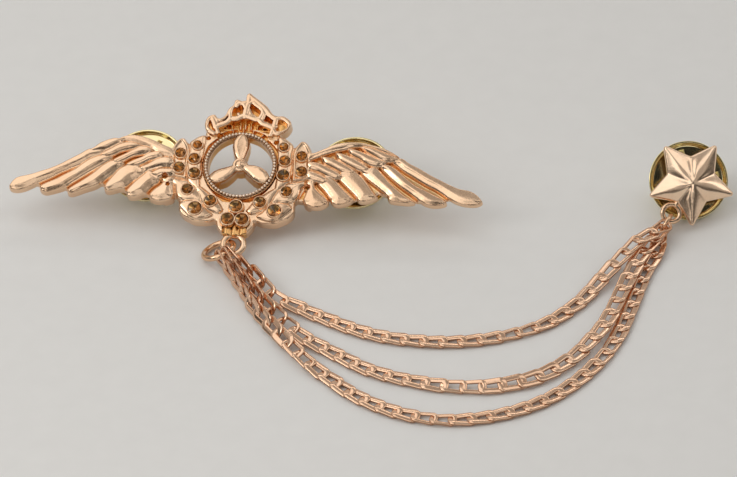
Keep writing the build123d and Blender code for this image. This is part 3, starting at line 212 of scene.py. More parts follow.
OUTER_LINKS = [
    (-20.135, 3.338, 1.782, 0.5395, -0.8290, -0.1472, -0.8382, -0.5454, 0.0000),
    (-18.675, 1.058, 1.492, 0.5374, -0.8394, -0.0819, -0.8413, -0.5403, 0.0174),
    (-17.210, -1.231, 1.336, 0.5308, -0.8468, -0.0342, -0.8440, -0.5318, 0.0697),
    (-15.786, -3.552, 1.306, 0.5088, -0.8609, -0.0019, -0.8476, -0.5014, 0.1736),
    (-14.440, -5.918, 1.325, 0.5514, -0.8342, 0.0020, -0.7843, -0.5176, 0.3420),
    (-12.791, -8.084, 1.317, 0.6118, -0.7910, -0.0040, -0.6695, -0.5205, 0.5299),
    (-11.109, -10.225, 1.304, 0.6195, -0.7850, -0.0069, -0.5221, -0.4185, 0.7431),
    (-9.418, -12.358, 1.279, 0.6303, -0.7759, -0.0258, -0.3256, -0.2944, 0.8985),
    (-7.678, -14.449, 1.163, 0.6490, -0.7583, -0.0610, -0.0929, -0.1586, 0.9830),
    (-5.885, -16.486, 0.947, 0.6979, -0.7101, -0.0932, 0.0653, -0.0665, 0.9956),
    (-3.883, -18.309, 0.657, 0.7415, -0.6639, -0.0966, 0.0720, -0.0645, 0.9953),
    (-1.718, -20.063, 0.464, 0.7706, -0.6373, 0.0012, -0.0040, -0.0029, 1.0000),
    (0.220, -21.872, 0.440, 0.7793, -0.6267, 0.0035, -0.0027, 0.0022, 1.0000),
    (2.393, -23.511, 0.440, 0.8312, -0.5559, 0.0000, 0.0000, 0.0000, 1.0000),
    (4.738, -24.895, 0.440, 0.8817, -0.4718, 0.0000, 0.0000, 0.0000, 1.0000),
    (7.190, -26.078, 0.440, 0.9246, -0.3810, 0.0000, 0.0000, 0.0000, 1.0000),
    (9.764, -26.965, 0.440, 0.9628, -0.2702, -0.0000, 0.0000, -0.0000, 1.0000),
    (12.424, -27.547, 0.440, 0.9884, -0.1520, -0.0000, 0.0000, -0.0000, 1.0000),
    (15.135, -27.792, 0.440, 1.0000, -0.0086, 0.0000, 0.0000, 0.0000, 1.0000),
    (17.851, -27.594, 0.440, 0.9905, 0.1374, 0.0000, 0.0000, 0.0000, 1.0000),
    (20.517, -27.045, 0.440, 0.9655, 0.2605, 0.0000, 0.0000, 0.0000, 1.0000),
    (23.098, -26.178, 0.440, 0.9290, 0.3700, 0.0000, 0.0000, 0.0000, 1.0000),
    (25.568, -25.033, 0.440, 0.8827, 0.4698, 0.0000, 0.0000, 0.0000, 1.0000),
    (27.897, -23.624, 0.440, 0.8195, 0.5731, 0.0000, -0.0000, -0.0000, 1.0000),
    (30.020, -21.920, 0.440, 0.7330, 0.6802, 0.0000, 0.0000, 0.0000, 1.0000),
    (31.878, -19.929, 0.440, 0.6485, 0.7612, -0.0000, 0.0000, 0.0000, 1.0000),
    (33.548, -17.779, 0.440, 0.5680, 0.8230, 0.0000, 0.0000, 0.0000, 1.0000),
    (34.966, -15.455, 0.440, 0.5037, 0.8639, 0.0000, 0.0000, 0.0000, 1.0000),
    (36.290, -13.076, 0.440, 0.4271, 0.9042, 0.0000, 0.0000, 0.0000, 1.0000),
    (37.287, -10.543, 0.440, 0.3202, 0.9474, 0.0000, 0.0000, 0.0000, 1.0000),
    (38.031, -7.924, 0.440, 0.2345, 0.9721, 0.0000, 0.0000, 0.0000, 1.0000),
    (38.562, -5.254, 0.440, 0.1799, 0.9837, 0.0000, 0.0000, 0.0000, 1.0000),
    (39.011, -2.569, 0.440, 0.1643, 0.9864, 0.0000, -0.0000, -0.0000, 1.0000),
    (39.457, 0.117, 0.440, 0.1583, 0.9874, 0.0000, -0.0000, -0.0000, 1.0000),
    (39.873, 2.808, 0.440, 0.1712, 0.9852, -0.0005, 0.0001, 0.0005, 1.0000),
    (40.379, 5.454, 0.478, 0.2107, 0.9774, 0.0171, -0.0269, -0.0117, 0.9996),
    (41.154, 8.110, 0.591, 0.3153, 0.9476, 0.0516, 0.0304, -0.0644, 0.9975),
    (41.797, 10.759, 0.705, 0.0913, 0.9957, 0.0168, -0.0134, -0.0157, 0.9998),
    (41.847, 13.506, 0.878, -0.0584, 0.9900, 0.1281, -0.0104, -0.1289, 0.9916),
]


# ------------------------------------------------------------------ mesh helpers
class Soup:
    """Collects vertices, faces and a painted-shade value per vertex: how much shade colour is painted on it."""

    def __init__(self):
        self.v, self.f, self.c, self.n = [], [], [], 0

    def add(self, pts, faces, painted_shade=0.0):
        pts = np.asarray(pts, float).reshape(-1, 3)
        self.v.append(pts)
        k = self.n
        self.f.extend([tuple(int(i) + k for i in q) for q in faces])
        r = np.full(len(pts), painted_shade, float) if np.isscalar(painted_shade) else np.asarray(painted_shade, float)
        self.c.append(r)
        self.n += len(pts)

    def grid(self, G, close_u=True, close_v=True, painted_shade=0.0):
        """G: (U, V, 3) points joined in quads."""
        U, V = G.shape[:2]
        fs = []
        for i in range(U if close_u else U - 1):
            for j in range(V if close_v else V - 1):
                i2, j2 = (i + 1) % U, (j + 1) % V
                fs.append((i * V + j, i2 * V + j, i2 * V + j2, i * V + j2))
        r = painted_shade if np.isscalar(painted_shade) else np.asarray(painted_shade).reshape(-1)
        self.add(G.reshape(-1, 3), fs, r)

    def obj(self, name, mat, body, nodes=(), angle=40, smooth=True):
        me = bpy.data.meshes.new(name)
        V = np.concatenate(self.v)
        me.from_pydata(V.tolist(), [], self.f)
        me.update()
        bm = bmesh.new(); bm.from_mesh(me)
        bmesh.ops.recalc_face_normals(bm, faces=bm.faces)
        bm.to_mesh(me); bm.free()
        at = me.attributes.new("painted_shade", "FLOAT", "POINT")
        at.data.foreach_set("value", np.concatenate(self.c).astype(np.float32))
        if smooth:
            me.polygons.foreach_set("use_smooth", [True] * len(me.polygons))
            if angle is not None:
                me.set_sharp_from_angle(angle=rad(angle))
        ob = bpy.data.objects.new(name, me)
        bpy.context.scene.collection.objects.link(ob)
        me.materials.append(mat)
        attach(ob, body)
        if nodes:
            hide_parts(*nodes)
        return ob


def fast_obj(name, V, quads, painted_shade, mat, body, nodes=(), angle=None, extra=None):
    me = bpy.data.meshes.new(name)
    me.vertices.add(len(V)); me.vertices.foreach_set("co", V.astype(np.float32).ravel())
    nq = len(quads)
    me.loops.add(nq * 4); me.loops.foreach_set("vertex_index", quads.astype(np.int32).ravel())
    me.polygons.add(nq)
    me.polygons.foreach_set("loop_start", np.arange(0, nq * 4, 4, dtype=np.int32))
    me.polygons.foreach_set("loop_total", np.full(nq, 4, dtype=np.int32))
    me.update(calc_edges=True); me.validate()
    at = me.attributes.new("painted_shade", "FLOAT", "POINT")
    at.data.foreach_set("value", painted_shade.astype(np.float32))
    me.polygons.foreach_set("use_smooth", [True] * len(me.polygons))
    if angle is not None:
        me.set_sharp_from_angle(angle=rad(angle))
    ob = bpy.data.objects.new(name, me)
    bpy.context.scene.collection.objects.link(ob)
    me.materials.append(mat)
    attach(ob, body)
    if nodes:
        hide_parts(*nodes)
    return ob


def lathe(sp, fr, prof, segs=48, painted_shade=0.0, close=False, a0=0.0):
    """Turn a profile [(r, z), ...] about the frame's z axis."""
    prof = np.asarray(prof, float)
    th = np.linspace(0, 2 * pi, segs, endpoint=False) + a0
    G = np.stack([prof[:, 0][None] * np.cos(th)[:, None], prof[:, 0][None] * np.sin(th)[:, None],
                  np.repeat(prof[:, 1][None], segs, 0)], -1)
    rc = painted_shade if np.isscalar(painted_shade) else np.repeat(np.asarray(painted_shade, float)[None], segs, 0)
    sp.grid(world(fr, G), True, close, rc)


def torus(sp, fr, R, r, segs=72, sides=20, gap=0.0, flat=None, painted_shade=0.0):
    n = segs + 1 if gap else segs
    th = np.linspace(gap / 2, 2 * pi - gap / 2, n) if gap else np.linspace(0, 2 * pi, n, endpoint=False)
    ph = np.linspace(0, 2 * pi, sides, endpoint=False)
    x = R + r * np.cos(ph)
    z = r * np.sin(ph)
    if flat:
        z = np.clip(z, -flat, flat)
    G = np.stack([x[None] * np.cos(th)[:, None], x[None] * np.sin(th)[:, None], np.repeat(z[None], n, 0)], -1)
    sp.grid(world(fr, G), not gap, True, painted_shade)
    if gap:   # end caps
        for k in (0, n - 1):
            c = np.stack([x * cos(th[k]), x * sin(th[k]), z], -1)
            sp.add(world(fr, c), [tuple(range(sides))], painted_shade)


def tube(sp, path, r, sides=12, closed=False, painted_shade=0.0, to_world=None, caps=True, radii=None):
    """Round tube along mm points."""
    P = np.asarray(path, float); n = len(P)
    if closed:
        T = np.roll(P, -1, 0) - np.roll(P, 1, 0)
    else:
        T = np.gradient(P, axis=0)
    T /= np.linalg.norm(T, axis=1)[:, None]
    N = np.zeros_like(P)
    a = np.cross(T[0], (0, 0, 1.0))
    if np.linalg.norm(a) < 1e-3:
        a = np.cross(T[0], (0, 1.0, 0))
    N[0] = a / np.linalg.norm(a)
    for i in range(1, n):
        v = N[i - 1] - T[i] * np.dot(N[i - 1], T[i])
        N[i] = v / np.linalg.norm(v)
    Bn = np.cross(T, N)
    ph = np.linspace(0, 2 * pi, sides, endpoint=False)
    rr = np.full(n, r) if radii is None else np.asarray(radii)
    G = P[:, None] + rr[:, None, None] * (np.cos(ph)[None, :, None] * N[:, None] + np.sin(ph)[None, :, None] * Bn[:, None])
    W = world(to_world, G) if to_world is not None else G * MM
    sp.grid(W, closed, True, painted_shade)
    if not closed and caps:
        sp.add(W[0], [tuple(range(sides))], painted_shade)
        sp.add(W[-1], [tuple(range(sides))], painted_shade)


# ------------------------------------------------------------------ height fields
def smooth_poly(P, k=5, closed=True):
    P = np.asarray(P, float); n = len(P); out = []
    rng = range(n) if closed else range(n - 1)
    for i in rng:
        if closed:
            p0, p1, p2, p3 = P[i - 1], P[i], P[(i + 1) % n], P[(i + 2) % n]
        else:
            p1, p2 = P[i], P[i + 1]
            p0 = P[i - 1] if i > 0 else 2 * p1 - p2
            p3 = P[i + 2] if i + 2 < n else 2 * p2 - p1
        for j in range(k):
            f = j / k
            out.append(0.5 * ((2 * p1) + (-p0 + p2) * f + (2 * p0 - 5 * p1 + 4 * p2 - p3) * f * f + (-p0 + 3 * p1 - 3 * p2 + p3) * f ** 3))
    if not closed:
        out.append(P[-1])
    return np.array(out)


def poly_dist(P, X, Y):
    """Signed distance to a closed polygon, positive inside."""
    d2 = np.full(X.shape, 1e9); ins = np.zeros(X.shape, bool)
    for i in range(len(P)):
        x0, y0 = P[i - 1]; x1, y1 = P[i]
        ex, ey = x1 - x0, y1 - y0
        L = ex * ex + ey * ey
        if L < 1e-12:
            continue
        wx, wy = X - x0, Y - y0
        q = np.clip((wx * ex + wy * ey) / L, 0, 1)
        d2 = np.minimum(d2, (wx - ex * q) ** 2 + (wy - ey * q) ** 2)
        if y0 != y1:
            ins ^= ((y0 > Y) != (y1 > Y)) & (X < (x1 - x0) * (Y - y0) / (y1 - y0) + x0)
    return np.where(ins, 1.0, -1.0) * np.sqrt(d2)


def line_dist(P, X, Y):
    d2 = np.full(X.shape, 1e9)
    for i in range(len(P) - 1):
        x0, y0 = P[i]; x1, y1 = P[i + 1]
        ex, ey = x1 - x0, y1 - y0
        L = ex * ex + ey * ey
        if L < 1e-12:
            continue
        wx, wy = X - x0, Y - y0
        q = np.clip((wx * ex + wy * ey) / L, 0, 1)
        d2 = np.minimum(d2, (wx - ex * q) ** 2 + (wy - ey * q) ** 2)
    return np.sqrt(d2)


def sstep(x, a, b):
    q = np.clip((x - a) / (b - a), 0, 1)
    return q * q * (3 - 2 * q)


def pillow(d, w):
    q = np.clip(d / w, 0, 1)
    return np.sqrt(np.clip(1 - (1 - q) ** 2, 0, 1))


class Field:
    def __init__(self, a0, a1, b0, b1, step):
        self.step = step; self.a0, self.b0 = a0, b0
        self.xs = np.arange(a0, a1, step); self.ys = np.arange(b0, b1, step)
        self.X, self.Y = np.meshgrid(self.xs, self.ys, indexing="ij")
        self.h = np.full(self.X.shape, -9.0)      # top height
        self.o = np.full(self.X.shape, -3.0)      # signed distance inside the silhouette

    def win(self, P, m=1.2):
        P = np.asarray(P)
        i0 = max(0, int((P[:, 0].min() - m - self.a0) / self.step)); i1 = min(len(self.xs), int((P[:, 0].max() + m - self.a0) / self.step) + 2)
        j0 = max(0, int((P[:, 1].min() - m - self.b0) / self.step)); j1 = min(len(self.ys), int((P[:, 1].max() + m - self.b0) / self.step) + 2)
        return slice(i0, i1), slice(j0, j1)

    def raise_poly(self, P, base, amp, w, outline=True, k=5, ridge=None, edge=0.10):
        """A pillow of height base + amp inside a smoothed outline."""
        S = smooth_poly(P, k)
        s = self.win(S)
        X, Y = self.X[s], self.Y[s]
        d = poly_dist(S, X, Y)
        hh = base + amp * pillow(d, w)
        if ridge is not None:
            hh = hh + ridge(X, Y, d)
        hh = np.where(d > -edge, hh + np.clip(d / edge, -1, 0) * 0.8 * (1 + 0 * X), -9)
        self.h[s] = np.maximum(self.h[s], np.where(d > 0, hh, -9))
        if outline:
            self.o[s] = np.maximum(self.o[s], d)
        return s, d


def volume_mesh(F, back, top, soft=0.10, extra_cut=None):
    """Voxel surface of the solid between the flat back and the height field."""
    st = F.step
    zs = np.arange(back - 0.4, top + 0.4, st)
    gx, gy = np.gradient(F.h, st)
    g = np.sqrt(1 + np.clip(gx * gx + gy * gy, 0, 60.0)).astype(np.float32)
    h = F.h.astype(np.float32); o = F.o.astype(np.float32)
    Z = zs.astype(np.float32)[None, None, :]
    D = (h[..., None] - Z) / g[..., None]
    # rounded outer edge: smooth minimum of height and silhouette distance
    O = np.broadcast_to(o[..., None], D.shape)
    k = soft
    e = np.clip(0.5 + 0.5 * (O - D) / k, 0, 1)
    D = O * (1 - e) + D * e - k * e * (1 - e)
    D = np.minimum(D, Z - back)
    if extra_cut is not None:
        D = np.minimum(D, extra_cut(F.X[..., None], F.Y[..., None], Z))
    D = np.clip(D, -3 * st, 3 * st)
    grid = vdb.FloatGrid(); grid.background = -3 * st
    grid.copyFromArray(np.ascontiguousarray(D, dtype=np.float32))
    pts, quads = grid.convertToQuads(0.0)
    pts = np.asarray(pts, float) * st
    P = np.stack([pts[:, 0] + F.a0, pts[:, 1] + F.b0, pts[:, 2] + zs[0]], -1)
    return P, np.asarray(quads)


def dilate(h, r):
    """Grey dilation by r cells, separable."""
    out = h.copy()
    for ax in (0, 1):
        src = out.copy()
        for k in range(1, r + 1):
            a = np.roll(src, k, ax); b = np.roll(src, -k, ax)
            out = np.maximum(out, np.maximum(a, b))
    return out


def blur(h, r):
    for ax in (0, 1):
        c = np.cumsum(np.concatenate([np.repeat(np.take(h, [0], ax), r + 1, ax), h, np.repeat(np.take(h, [-1], ax), r, ax)], ax), ax)
        n = h.shape[ax]
        h = (np.take(c, range(2 * r + 1, 2 * r + 1 + n), ax) - np.take(c, range(0, n), ax)) / (2 * r + 1)
    return h


def sample(F, A, P):
    i = np.clip(((P[:, 0] - F.a0) / F.step).round().astype(int), 0, A.shape[0] - 1)
    j = np.clip(((P[:, 1] - F.b0) / F.step).round().astype(int), 0, A.shape[1] - 1)
    return A[i, j]


# ------------------------------------------------------------------ materials
def nodes_of(name):
    m = bpy.data.materials.new(name); m.use_nodes = True
    nt = m.node_tree
    for n in list(nt.nodes):
        nt.nodes.remove(n)
    return m, nt


def metal(name, bright, deep, rough=0.16, rough_var=0.10, streak=0.25, bump=0.12, grain=2600.0, painted_shade_gain=1.0, pit=(0.36, 0.24, 0.16), groove=(0.85, 0.56, 0.28)):
    """Plated metal: bright on the high spots, with a deeper colour painted into the recesses as painted shade for the
    light bounced inside them, and fine casting texture.
    """
    m, nt = nodes_of(name)
    N, L = nt.nodes, nt.links
    out = N.new("ShaderNodeOutputMaterial"); bs = N.new("ShaderNodeBsdfPrincipled")
    L.new(bs.outputs[0], out.inputs[0])
    bs.inputs["Metallic"].default_value = 1.0
    tc = N.new("ShaderNodeTexCoord")
    at = N.new("ShaderNodeAttribute"); at.attribute_name = "painted_shade"
    # large soft tarnish pattern
    n1 = N.new("ShaderNodeTexNoise"); n1.inputs["Scale"].default_value = 260.0
    n1.inputs["Detail"].default_value = 4.0; n1.inputs["Roughness"].default_value = 0.6
    L.new(tc.outputs["Object"], n1.inputs["Vector"])
    # fine grain
    n2 = N.new("ShaderNodeTexNoise"); n2.inputs["Scale"].default_value = grain
    n2.inputs["Detail"].default_value = 3.0
    L.new(tc.outputs["Object"], n2.inputs["Vector"])
    # mid-size ripples left by casting and polishing
    n3 = N.new("ShaderNodeTexNoise"); n3.inputs["Scale"].default_value = 900.0
    n3.inputs["Detail"].default_value = 2.0
    L.new(tc.outputs["Object"], n3.inputs["Vector"])
    # painted-shade mask for the recesses, with broken edge
    ma = N.new("ShaderNodeMath"); ma.operation = "MULTIPLY_ADD"
    L.new(n1.outputs["Fac"], ma.inputs[0]); ma.inputs[1].default_value = 0.5 * streak; ma.inputs[2].default_value = -0.25 * streak
    mb = N.new("ShaderNodeMath"); mb.operation = "MULTIPLY_ADD"
    L.new(at.outputs["Fac"], mb.inputs[0]); mb.inputs[1].default_value = painted_shade_gain
    L.new(ma.outputs[0], mb.inputs[2])
    mr = N.new("ShaderNodeMapRange"); mr.interpolation_type = "SMOOTHSTEP"
    mr.inputs["From Min"].default_value = 0.06; mr.inputs["From Max"].default_value = 0.75
    L.new(mb.outputs[0], mr.inputs["Value"])
    mix0 = N.new("ShaderNodeMix"); mix0.data_type = "RGBA"
    mix0.inputs[6].default_value = (*bright, 1); mix0.inputs[7].default_value = (*deep, 1)
    L.new(mr.outputs[0], mix0.inputs[0])
    # values above one paint the dark brown shade of the empty stone seats and of the channel under the beads
    mp = N.new("ShaderNodeMapRange"); mp.inputs["From Min"].default_value = 0.95; mp.inputs["From Max"].default_value = 1.5
    L.new(at.outputs["Fac"], mp.inputs["Value"])
    mix = N.new("ShaderNodeMix"); mix.data_type = "RGBA"
    mix.inputs[7].default_value = (*pit, 1)
    L.new(mix0.outputs[2], mix.inputs[6]); L.new(mp.outputs[0], mix.inputs[0])
    # values below zero paint a milder shade, the paler gold, into the grooves between feathers
    mg = N.new("ShaderNodeMapRange"); mg.inputs["From Min"].default_value = -0.08; mg.inputs["From Max"].default_value = -0.75
    L.new(at.outputs["Fac"], mg.inputs["Value"])
    mixg = N.new("ShaderNodeMix"); mixg.data_type = "RGBA"
    mixg.inputs[7].default_value = (*groove, 1)
    L.new(mix.outputs[2], mixg.inputs[6]); L.new(mg.outputs[0], mixg.inputs[0])
    # slight hue drift
    hue = N.new("ShaderNodeMix"); hue.data_type = "RGBA"; hue.blend_type = "MULTIPLY"
    cr = N.new("ShaderNodeValToRGB")
    cr.color_ramp.elements[0].position = 0.30; cr.color_ramp.elements[0].color = (0.93, 0.86, 0.80, 1)
    cr.color_ramp.elements[1].position = 0.68; cr.color_ramp.elements[1].color = (1.0, 1.0, 1.0, 1)
    L.new(n1.outputs["Fac"], cr.inputs[0])
    hue.inputs[0].default_value = 0.8
    L.new(mixg.outputs[2], hue.inputs[6]); L.new(cr.outputs[0], hue.inputs[7])
    L.new(hue.outputs[2], bs.inputs["Base Color"])
    # roughness
    rr = N.new("ShaderNodeMapRange")
    rr.inputs["To Min"].default_value = rough - rough_var * 0.4; rr.inputs["To Max"].default_value = rough + rough_var
    L.new(n3.outputs["Fac"], rr.inputs["Value"])
    ra = N.new("ShaderNodeMath"); ra.operation = "MULTIPLY_ADD"
    L.new(mr.outputs[0], ra.inputs[0]); ra.inputs[1].default_value = 0.04
    L.new(rr.outputs[0], ra.inputs[2])
    L.new(ra.outputs[0], bs.inputs["Roughness"])
    # bump
    ba = N.new("ShaderNodeMath"); ba.operation = "MULTIPLY_ADD"
    L.new(n3.outputs["Fac"], ba.inputs[0]); ba.inputs[1].default_value = 1.6
    L.new(n2.outputs["Fac"], ba.inputs[2])
    bp = N.new("ShaderNodeBump"); bp.inputs["Strength"].default_value = bump; bp.inputs["Distance"].default_value = 0.00006
    L.new(ba.outputs[0], bp.inputs["Height"]); L.new(bp.outputs[0], bs.inputs["Normal"])
    return m


# ROSE is the casting's colour; AMBER is the painted shade for its recesses, standing in for light bounced inside them
ROSE = (0.88, 0.62, 0.42)
AMBER = (0.80, 0.46, 0.17)
mat_cast = metal("rose_gold_casting", ROSE, AMBER, rough=0.17, rough_var=0.10, bump=0.16)
# the seats' material is paler than the casting: the facet left without painted shade reads as a painted highlight
mat_pit = metal("rose_gold_seat", (0.94, 0.74, 0.56), AMBER, rough=0.10, rough_var=0.06, bump=0.10)
# the beads get a paler copy of the rose gold, a painted highlight
mat_bead = metal("rose_gold_bead", (0.99, 0.83, 0.68), AMBER, rough=0.27, rough_var=0.06, bump=0.05)
# the star gets a brighter copy of the rose gold, painted light that makes it read lighter
mat_star = metal("rose_gold_star", (0.99, 0.75, 0.55), AMBER, rough=0.15, rough_var=0.08, bump=0.12)
mat_ring = metal("rose_gold_ring", (0.86, 0.58, 0.38), (0.78, 0.42, 0.18), rough=0.13, rough_var=0.06, bump=0.08)
# the chain's deep colour is the painted shade on the sides of its wire
mat_chain = metal("rose_gold_chain", (0.84, 0.57, 0.40), (0.40, 0.20, 0.11), rough=0.13, rough_var=0.08, bump=0.12)
mat_cup = metal("clutch_brass", (0.90, 0.80, 0.46), (0.70, 0.50, 0.16), rough=0.12, rough_var=0.08, bump=0.06, grain=5200.0)
mat_tooth = metal("clutch_tooth_brass", (0.98, 0.93, 0.66), (0.70, 0.50, 0.16), rough=0.34, rough_var=0.08, bump=0.05)
mat_post = metal("post_brass", (0.86, 0.72, 0.42), (0.66, 0.46, 0.18), rough=0.2, rough_var=0.08, bump=0.06)
mat_spring = metal("spring_wire", (0.62, 0.61, 0.58), (0.40, 0.38, 0.34), rough=0.24, rough_var=0.08, bump=0.05)

# ------------------------------------------------------------------ brooch casting
STEP = 0.065
F = Field(-33.9, 36.0, -11.7, 12.3, STEP)

# seats measured from the centre: left (a, b, r) and right (a, b, r)
SEATS_R = [(6.10, 3.09, 0.66), (6.43, 0.91, 0.80), (6.39, -1.38, 0.85), (8.80, 1.72, 0.76), (8.97, -0.77, 0.82), (7.07, -4.00, 0.80), (5.58, -7.12, 0.98), (3.39, -5.84, 0.86)]
SEATS_L = [(-6.41, 2.94, 0.66), (-6.70, 0.77, 0.80), (-6.50, -1.56, 0.85), (-8.76, 1.58, 0.76), (-8.78, -0.72, 0.82), (-7.26, -4.13, 0.80), (-5.90, -7.12, 0.98), (-3.80, -5.86, 0.86)]
TREFOIL = [(0.0, -6.65), (1.05, -8.68), (-1.05, -8.68)]
LEAVES = [
    ([(7.47, 2.05), (7.67, 2.98), (8.07, 3.71), (8.58, 4.26), (9.24, 4.06), (9.87, 3.17), (10.27, 1.96), (10.13, 0.93), (10.20, -0.59), (10.10, -1.61), (9.38, -1.97), (8.29, -2.18), (7.69, -2.20), (7.66, -0.70), (7.51, 1.03)], 3),
    ([(5.12, 4.71), (5.86, 4.74), (6.64, 4.26), (7.29, 3.67), (7.26, 2.86), (7.24, 2.04), (7.46, 1.03), (7.40, 0.11), (7.31, -0.71), (7.33, -1.73), (6.94, -2.61), (5.83, -3.68), (5.39, -3.44), (5.43, -2.42), (5.49, -1.80), (5.40, -0.79), (5.48, 0.23), (5.28, 1.76), (5.20, 3.28)], 1),
    ([(5.12, -5.69), (5.27, -4.77), (5.84, -3.78), (6.94, -2.61), (8.21, -2.36), (9.38, -2.05), (9.48, -2.66), (8.98, -3.29), (8.79, -4.32), (8.35, -5.15), (7.47, -5.60), (5.99, -5.58)], 5),
    ([(1.59, -7.04), (2.07, -6.23), (2.64, -5.43), (3.68, -4.63), (4.71, -3.82), (5.43, -3.42), (5.84, -3.63), (5.38, -4.36), (4.99, -5.19), (4.76, -5.76), (4.57, -6.28), (3.98, -6.91), (3.18, -7.30), (2.19, -7.60), (1.70, -7.31)], 7),
    ([(3.13, -7.87), (3.73, -7.28), (4.56, -6.18), (5.26, -5.69), (6.55, -5.66), (7.49, -5.92), (7.96, -6.50), (7.46, -7.18), (6.91, -7.71), (6.22, -8.35), (5.23, -8.63), (4.11, -8.47), (3.34, -8.16)], 6),
]

# plate under the feathers and the wreath
def wing_drop(X):
    return -0.30 * sstep(np.abs(X), 20.0, 35.0)


for P in (LEFT_PLATE, RIGHT_PLATE):
    S = smooth_poly(P, 3); s = F.win(S)
    d = poly_dist(S, F.X[s], F.Y[s])
    F.o[s] = np.maximum(F.o[s], d)
    F.h[s] = np.maximum(F.h[s], np.where(d > -0.3, -1.02 + wing_drop(F.X[s]), -9))
W2 = WREATH_HALF + [(-x, y) for x, y in reversed(WREATH_HALF[:-1])]
S = smooth_poly(W2, 4); s = F.win(S)
d = poly_dist(S, F.X[s], F.Y[s])
F.o[s] = np.maximum(F.o[s], d)
F.h[s] = np.maximum(F.h[s], np.where(d > -0.3, -0.72 + 0.16 * pillow(d, 0.4), -9))

for a, b, r_ in ((16.63, -3.95, 0.85), (16.48, -3.05, 0.7)):      # the plate shows between the short feathers
    q = r_ - np.hypot(F.X - a, F.Y - b)
    F.o = np.maximum(F.o, q); F.h = np.where(q > -0.05, np.maximum(F.h, -1.05), F.h)
# feathers: broad faces with a soft keel and a long bevel along the lower edge
for rows, base, amp, wb, drop, grow in (((LEFT_FLIGHT, RIGHT_FLIGHT), -0.90, 0.74, 1.15, 0.26, 0.30), ((LEFT_COVERTS, RIGHT_COVERTS), -0.74, 0.76, 0.62, 0.18, 0.30)):
    flight = base < -0.9
    for row in rows:
        for i, P in enumerate(row):
            S = smooth_poly(P, 4); s = F.win(S)
            X, Y = F.X[s], F.Y[s]
            d = poly_dist(S, X, Y)
            gx, gy = np.gradient(d, STEP)
            low = blur(sstep(gy, -0.15, 0.45), max(1, int(0.14 / STEP)))      # 1 where the nearest edge is the lower one
            dm = d.max()
            g_ = d + (grow if row[0][0][0] < 0 else grow * (0.5 if flight else 0.7)) * (0.5 if i in (0, 1) and flight else 1.0)
            lift = (0.035 if flight else 0.018) * i
            w1 = min(0.42, 0.6 * dm); w2 = min(wb, dm * 1.05)
            bev = low * drop * (1 - sstep(d, 0.0, w2) ** 0.8)
            hh = base + lift + amp * pillow(g_, w1 + 0.10) - bev + 0.06 * sstep(d, 0.2 * dm, dm) + wing_drop(X)
            F.h[s] = np.maximum(F.h[s], np.where(g_ > 0, hh, -9))
            F.o[s] = np.maximum(F.o[s], d + 0.03)

# leaves of the wreath
for side, seats in ((1, SEATS_R), (-1, SEATS_L)):
    for li, (P, si) in enumerate(LEAVES):
        da = seats[si][0] * side - SEATS_R[si][0]; db = seats[si][1] - SEATS_R[si][1]
        Q = [((x + da) * side, y + db) for x, y in P]
        S = smooth_poly(Q, 4); s = F.win(S)
        X, Y = F.X[s], F.Y[s]
        d = poly_dist(S, X, Y)
        g_ = d + 0.14
        hh = -0.72 + 0.54 * pillow(g_, 0.66)
        if li == 0:      # outer leaf: raised wall around a sunk bed
            hh = hh + 0.12 * np.exp(-((d - 0.22) / 0.16) ** 2) - 0.12 * sstep(d, 0.35, 0.6)
        if li >= 2:      # lower leaves swell towards their middle
            hh = hh + 0.16 * sstep(d, 0.2, 1.3)
        F.h[s] = np.maximum(F.h[s], np.where(g_ > 0, hh, -9))
        F.o[s] = np.maximum(F.o[s], d + 0.12)

